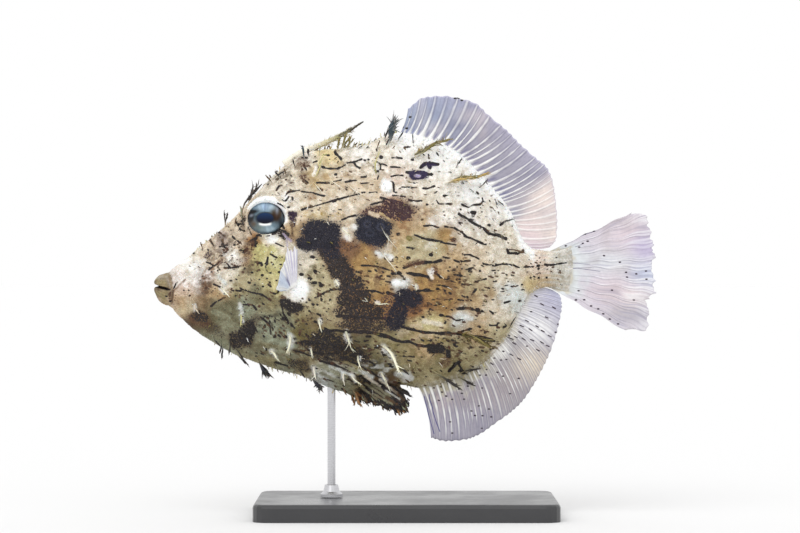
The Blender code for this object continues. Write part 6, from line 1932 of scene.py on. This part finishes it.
def build_tassels(finish):
    """Tassels placed one by one and small seeded ones on both sides, and fringes along back and belly."""
    tassels = Tassels(COAT_SEED)
    chance = tassels.chance
    plans = []
    for side in (-1, 1):
        plans += placed_plans(chance, side)
        plans += small_plans(chance, side)
    plans += fringe_plans(chance)
    plans += hem_plans(chance)
    for plan, base in zip(plans, Paint(np.array([plan.root for plan in plans])).look()):
        tassels.grow(plan, base)
    for name, side in (("tassels_left", -1), ("tassels_right", 1)):
        settle(tassels.tubes[side].build(name, finish), "skin")


def papilla_places(maker, grid, columns, side):
    """Rows and columns of the skin's grid that carry a papilla: none on the eye, few at the tail."""
    i, j = np.meshgrid(np.arange(CAP_RINGS + 2, len(grid) - 4, 2), columns, indexing="ij")
    i = (i + maker.integers(0, 2, i.shape)).ravel()
    j = (j + maker.integers(0, 2, j.shape)).ravel()
    kept = maker.random(len(i)) < PAPILLA_SHARE
    rim = lid_place(grid[i, j], side)[-1]
    kept &= (rim > 1.12) & (maker.random(len(i)) < smooth(STALK_REAR - 1, 52, grid[i, j, 0]))
    return i[kept], j[kept]


def papilla_cones(maker, root, out):
    """Middle lines and radii of cones that lean back from their roots, lower on the snout."""
    count = len(root)
    calm = smooth(-96, -70, root[:, 0])
    height = (0.3 + 0.45 * maker.random(count) ** 2) * (0.45 + 0.55 * calm)
    lean = out + np.column_stack((0.35 + 0.3 * maker.normal(size=count), 0.2 * maker.normal(size=count),
                                  0.3 * maker.normal(size=count)))
    lean /= np.linalg.norm(lean, axis=-1, keepdims=True)
    rise = (height[:, None] * np.array((0.0, 0.5, 1.0)))[..., None]
    lines = root[:, None] - out[:, None] * 0.15 + lean[:, None] * rise
    radii = (0.22 + 0.12 * maker.random(count))[:, None] * np.array((1.0, 0.75, 0.12))
    return lines, radii


def papilla_tones(maker, paint, at):
    """Colours at root, middle and tip: dark, pale or plain as the skin below is."""
    count = len(at)
    dusk = np.maximum(paint.dusk, smooth(0.4, 0.7, paint.ink))[at]
    dark = maker.random(count) < dusk * 1.05
    light = maker.random(count) < paint.pale[at]
    base = np.where(dark[:, None], paint.ink_tone[at], paint.tone[at])
    base = np.where((light & ~dark)[:, None], linear("frost"), base)
    shade = maker.uniform(0.86, 1.1, count)[:, None]
    return np.stack((base * 0.92, base * shade, np.clip(base * shade * 1.08, 0, 1)), axis=1)


def build_papillae(finish, grid, paint):
    """Small leaning cones all over the skin, a piece for each side."""
    rings, around = grid.shape[:2]
    normals = grid_normals(grid)
    maker = np.random.default_rng(COAT_SEED)
    left = np.arange(0, SIDE_POINTS - 1, 2)
    right = left + SIDE_POINTS + FLAP_POINTS
    for name, columns, side in (("papillae_left", left, -1), ("papillae_right", right, 1)):
        i, j = papilla_places(maker, grid, columns, side)
        tubes = Tubes(3, 4)
        tubes.lines, tubes.radii = papilla_cones(maker, grid[i, j], normals[i, j])
        tubes.tones = papilla_tones(maker, paint, i * around + j)
        tubes.patches = np.column_stack((0.01 + 0.98 * i / rings, 0.01 + 0.98 * j / around))
        settle(tubes.build(name, finish), "skin")


def point_at(line, share, at):
    """The point of a line at one share of it."""
    return np.array([np.interp(at, share, line[:, axis]) for axis in range(3)])


def spine_barbs(chance, line, share, radius):
    """Short thorns all round the spine."""
    barbs = Tubes(4, 5)
    steps = np.linspace(0, 1, barbs.steps)
    for _ in range(SPINE_BARBS):
        at = chance.uniform(0.3, 0.97)
        spot = point_at(line, share, at)
        thick = float(np.interp(at, share, radius))
        turn = chance.uniform(0, 2 * math.pi)
        out = np.array((-0.5 * math.cos(turn), math.sin(turn), 0.85 * math.cos(turn)))
        way = unit(out + (chance.uniform(0.1, 0.8), 0, chance.uniform(0.0, 0.4)))
        length = thick * chance.uniform(0.8, 1.6)
        barb = spot + out * thick * 0.7 + way * length * steps[:, None]
        hue = linear("umber") if at > 0.72 else linear("bone")
        barbs.add(barb, 0.16 * (1 - 0.9 * steps), np.tile(hue, (barbs.steps, 1)), SPINE_PATCH)
    return barbs


def spine_tuft(chance, line, share):
    """Soft bristles, olive and lime on the spine's outer half and paler towards its root."""
    tuft = Tubes(5, 4)
    steps = np.linspace(0, 1, tuft.steps)
    for _ in range(SPINE_BRISTLES):
        at = chance.betavariate(4.4, 2.2) * 0.9
        spot = point_at(line, share, at)
        side = chance.choice((-1, 1))
        way = unit((chance.gauss(0.5, 0.35), side * chance.uniform(0.1, 0.9), chance.gauss(0.5, 0.5)))
        length = chance.uniform(1.2, 3.4)
        droop = (0.4 * length, 0, -0.1 * length) * (steps ** 2)[:, None]
        hues = ("olive", "lime", "lemon", "bone", "sage") if at > 0.55 else ("bone", "lime", "frost")
        hue = linear(chance.choice(hues))
        radii = chance.uniform(0.14, 0.26) * (1 - 0.85 * steps)
        hair = spot + way * length * steps[:, None] + droop
        tuft.add(hair, radii, np.tile(hue, (tuft.steps, 1)), skin_patch(spot[0], spot[2], side))
    return tuft


def build_spine(finish, coat_finish):
    """The barbed first dorsal spine, dark at its tip, with its thorns and bristles."""
    share = np.linspace(0, 1, SPINE_STEPS)
    x, height, radius = (key_line(SPINE_KEYS, column)(share) for column in range(3))
    radius = radius * (1 + 0.08 * np.sin(share * 60))
    line = np.column_stack((x, 0 * x, height))
    tones = np.tile(linear("sand"), (SPINE_STEPS, 1))
    blend(tones, "bone", smooth(0.6, 0.3, share))
    blend(tones, "moss", smooth(0.6, 0.78, share))
    blend(tones, "soot", 0.8 * smooth(0.74, 0.88, share))
    shaft = Tubes(SPINE_STEPS, 14)
    shaft.add(line, radius, tones, SPINE_PATCH)
    settle(shaft.build("first_spine", finish), "spine", "first_dorsal_spine")
    chance = random.Random(SPINE_SEED)
    settle(spine_barbs(chance, line, share, radius).build("spine_barbs", coat_finish), "spine")
    settle(spine_tuft(chance, line, share).build("spine_tuft", coat_finish), "skin")


def make_floor():
    """A wide plain pale floor under the stand."""
    mesh = bpy.data.meshes.new("floor")
    reach = 14.0
    corners = [(-reach, -reach, 0), (reach, -reach, 0), (reach, reach, 0), (-reach, reach, 0)]
    mesh.from_pydata(corners, [], [(0, 1, 2, 3)])
    floor = bpy.data.objects.new("floor", mesh)
    bpy.context.scene.collection.objects.link(floor)
    grey = (0.77, 0.77, 0.77, 1)
    paper = Nodes("floor_paper").finish(Base_Color=grey, Roughness=0.9, Specular_IOR_Level=0.1)
    mesh.materials.append(paper)


def make_light():
    """Even white surroundings and one broad soft sun from above the fish's left side."""
    world = bpy.data.worlds.new("studio")
    world.use_nodes = True
    background = world.node_tree.nodes["Background"].inputs
    background["Color"].default_value = (1.0, 1.0, 1.0, 1.0)
    background["Strength"].default_value = 1.0
    bpy.context.scene.world = world
    lamp = bpy.data.lights.new("soft_sun", "SUN")
    lamp.energy = 1.2
    lamp.angle = math.radians(50)
    sun = bpy.data.objects.new("soft_sun", lamp)
    sun.rotation_euler = (math.radians(38), 0.0, math.radians(-18))
    bpy.context.scene.collection.objects.link(sun)
    bpy.context.scene.view_settings.view_transform = "Standard"


def make_camera():
    """A level camera square on to the fish's left side, as the photograph's was."""
    lens = bpy.data.cameras.new("camera")
    lens.sensor_width = SENSOR
    lens.lens = SENSOR * CAMERA_DISTANCE / (2 * CENTRE_PX[0] * PIXEL)
    camera = bpy.data.objects.new("camera", lens)
    camera.location = (CENTRE_X * MM, -CAMERA_DISTANCE * MM, (AXIS_HEIGHT + CENTRE_HEIGHT) * MM)
    camera.rotation_euler = (math.radians(90), 0.0, 0.0)
    bpy.context.scene.collection.objects.link(camera)
    bpy.context.scene.camera = camera


def finish_stand():
    """Give the stand's own solids their finishes."""
    for node, finish in (("stand_base", plate_material()), ("stand_rod", steel_material()),
                         ("stand_collar", steel_material())):
        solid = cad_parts[node]
        if not solid.material_slots:
            solid.data.materials.append(finish)
        for slot in solid.material_slots:
            slot.material = finish


def main():
    make_camera()
    make_light()
    make_floor()
    finish_stand()
    grid, paint = build_skin(skin_material())
    build_eyes(eye_material())
    coat = tassel_material()
    build_papillae(coat, grid, paint)
    build_tassels(coat)
    build_spine(spine_material(), coat)
    membrane = fin_material("fin_membrane", 0.88)
    build_dorsal(membrane)
    build_anal(membrane)
    build_caudal(membrane)
    build_pectorals(fin_material("pectoral_membrane", 0.8))


main()
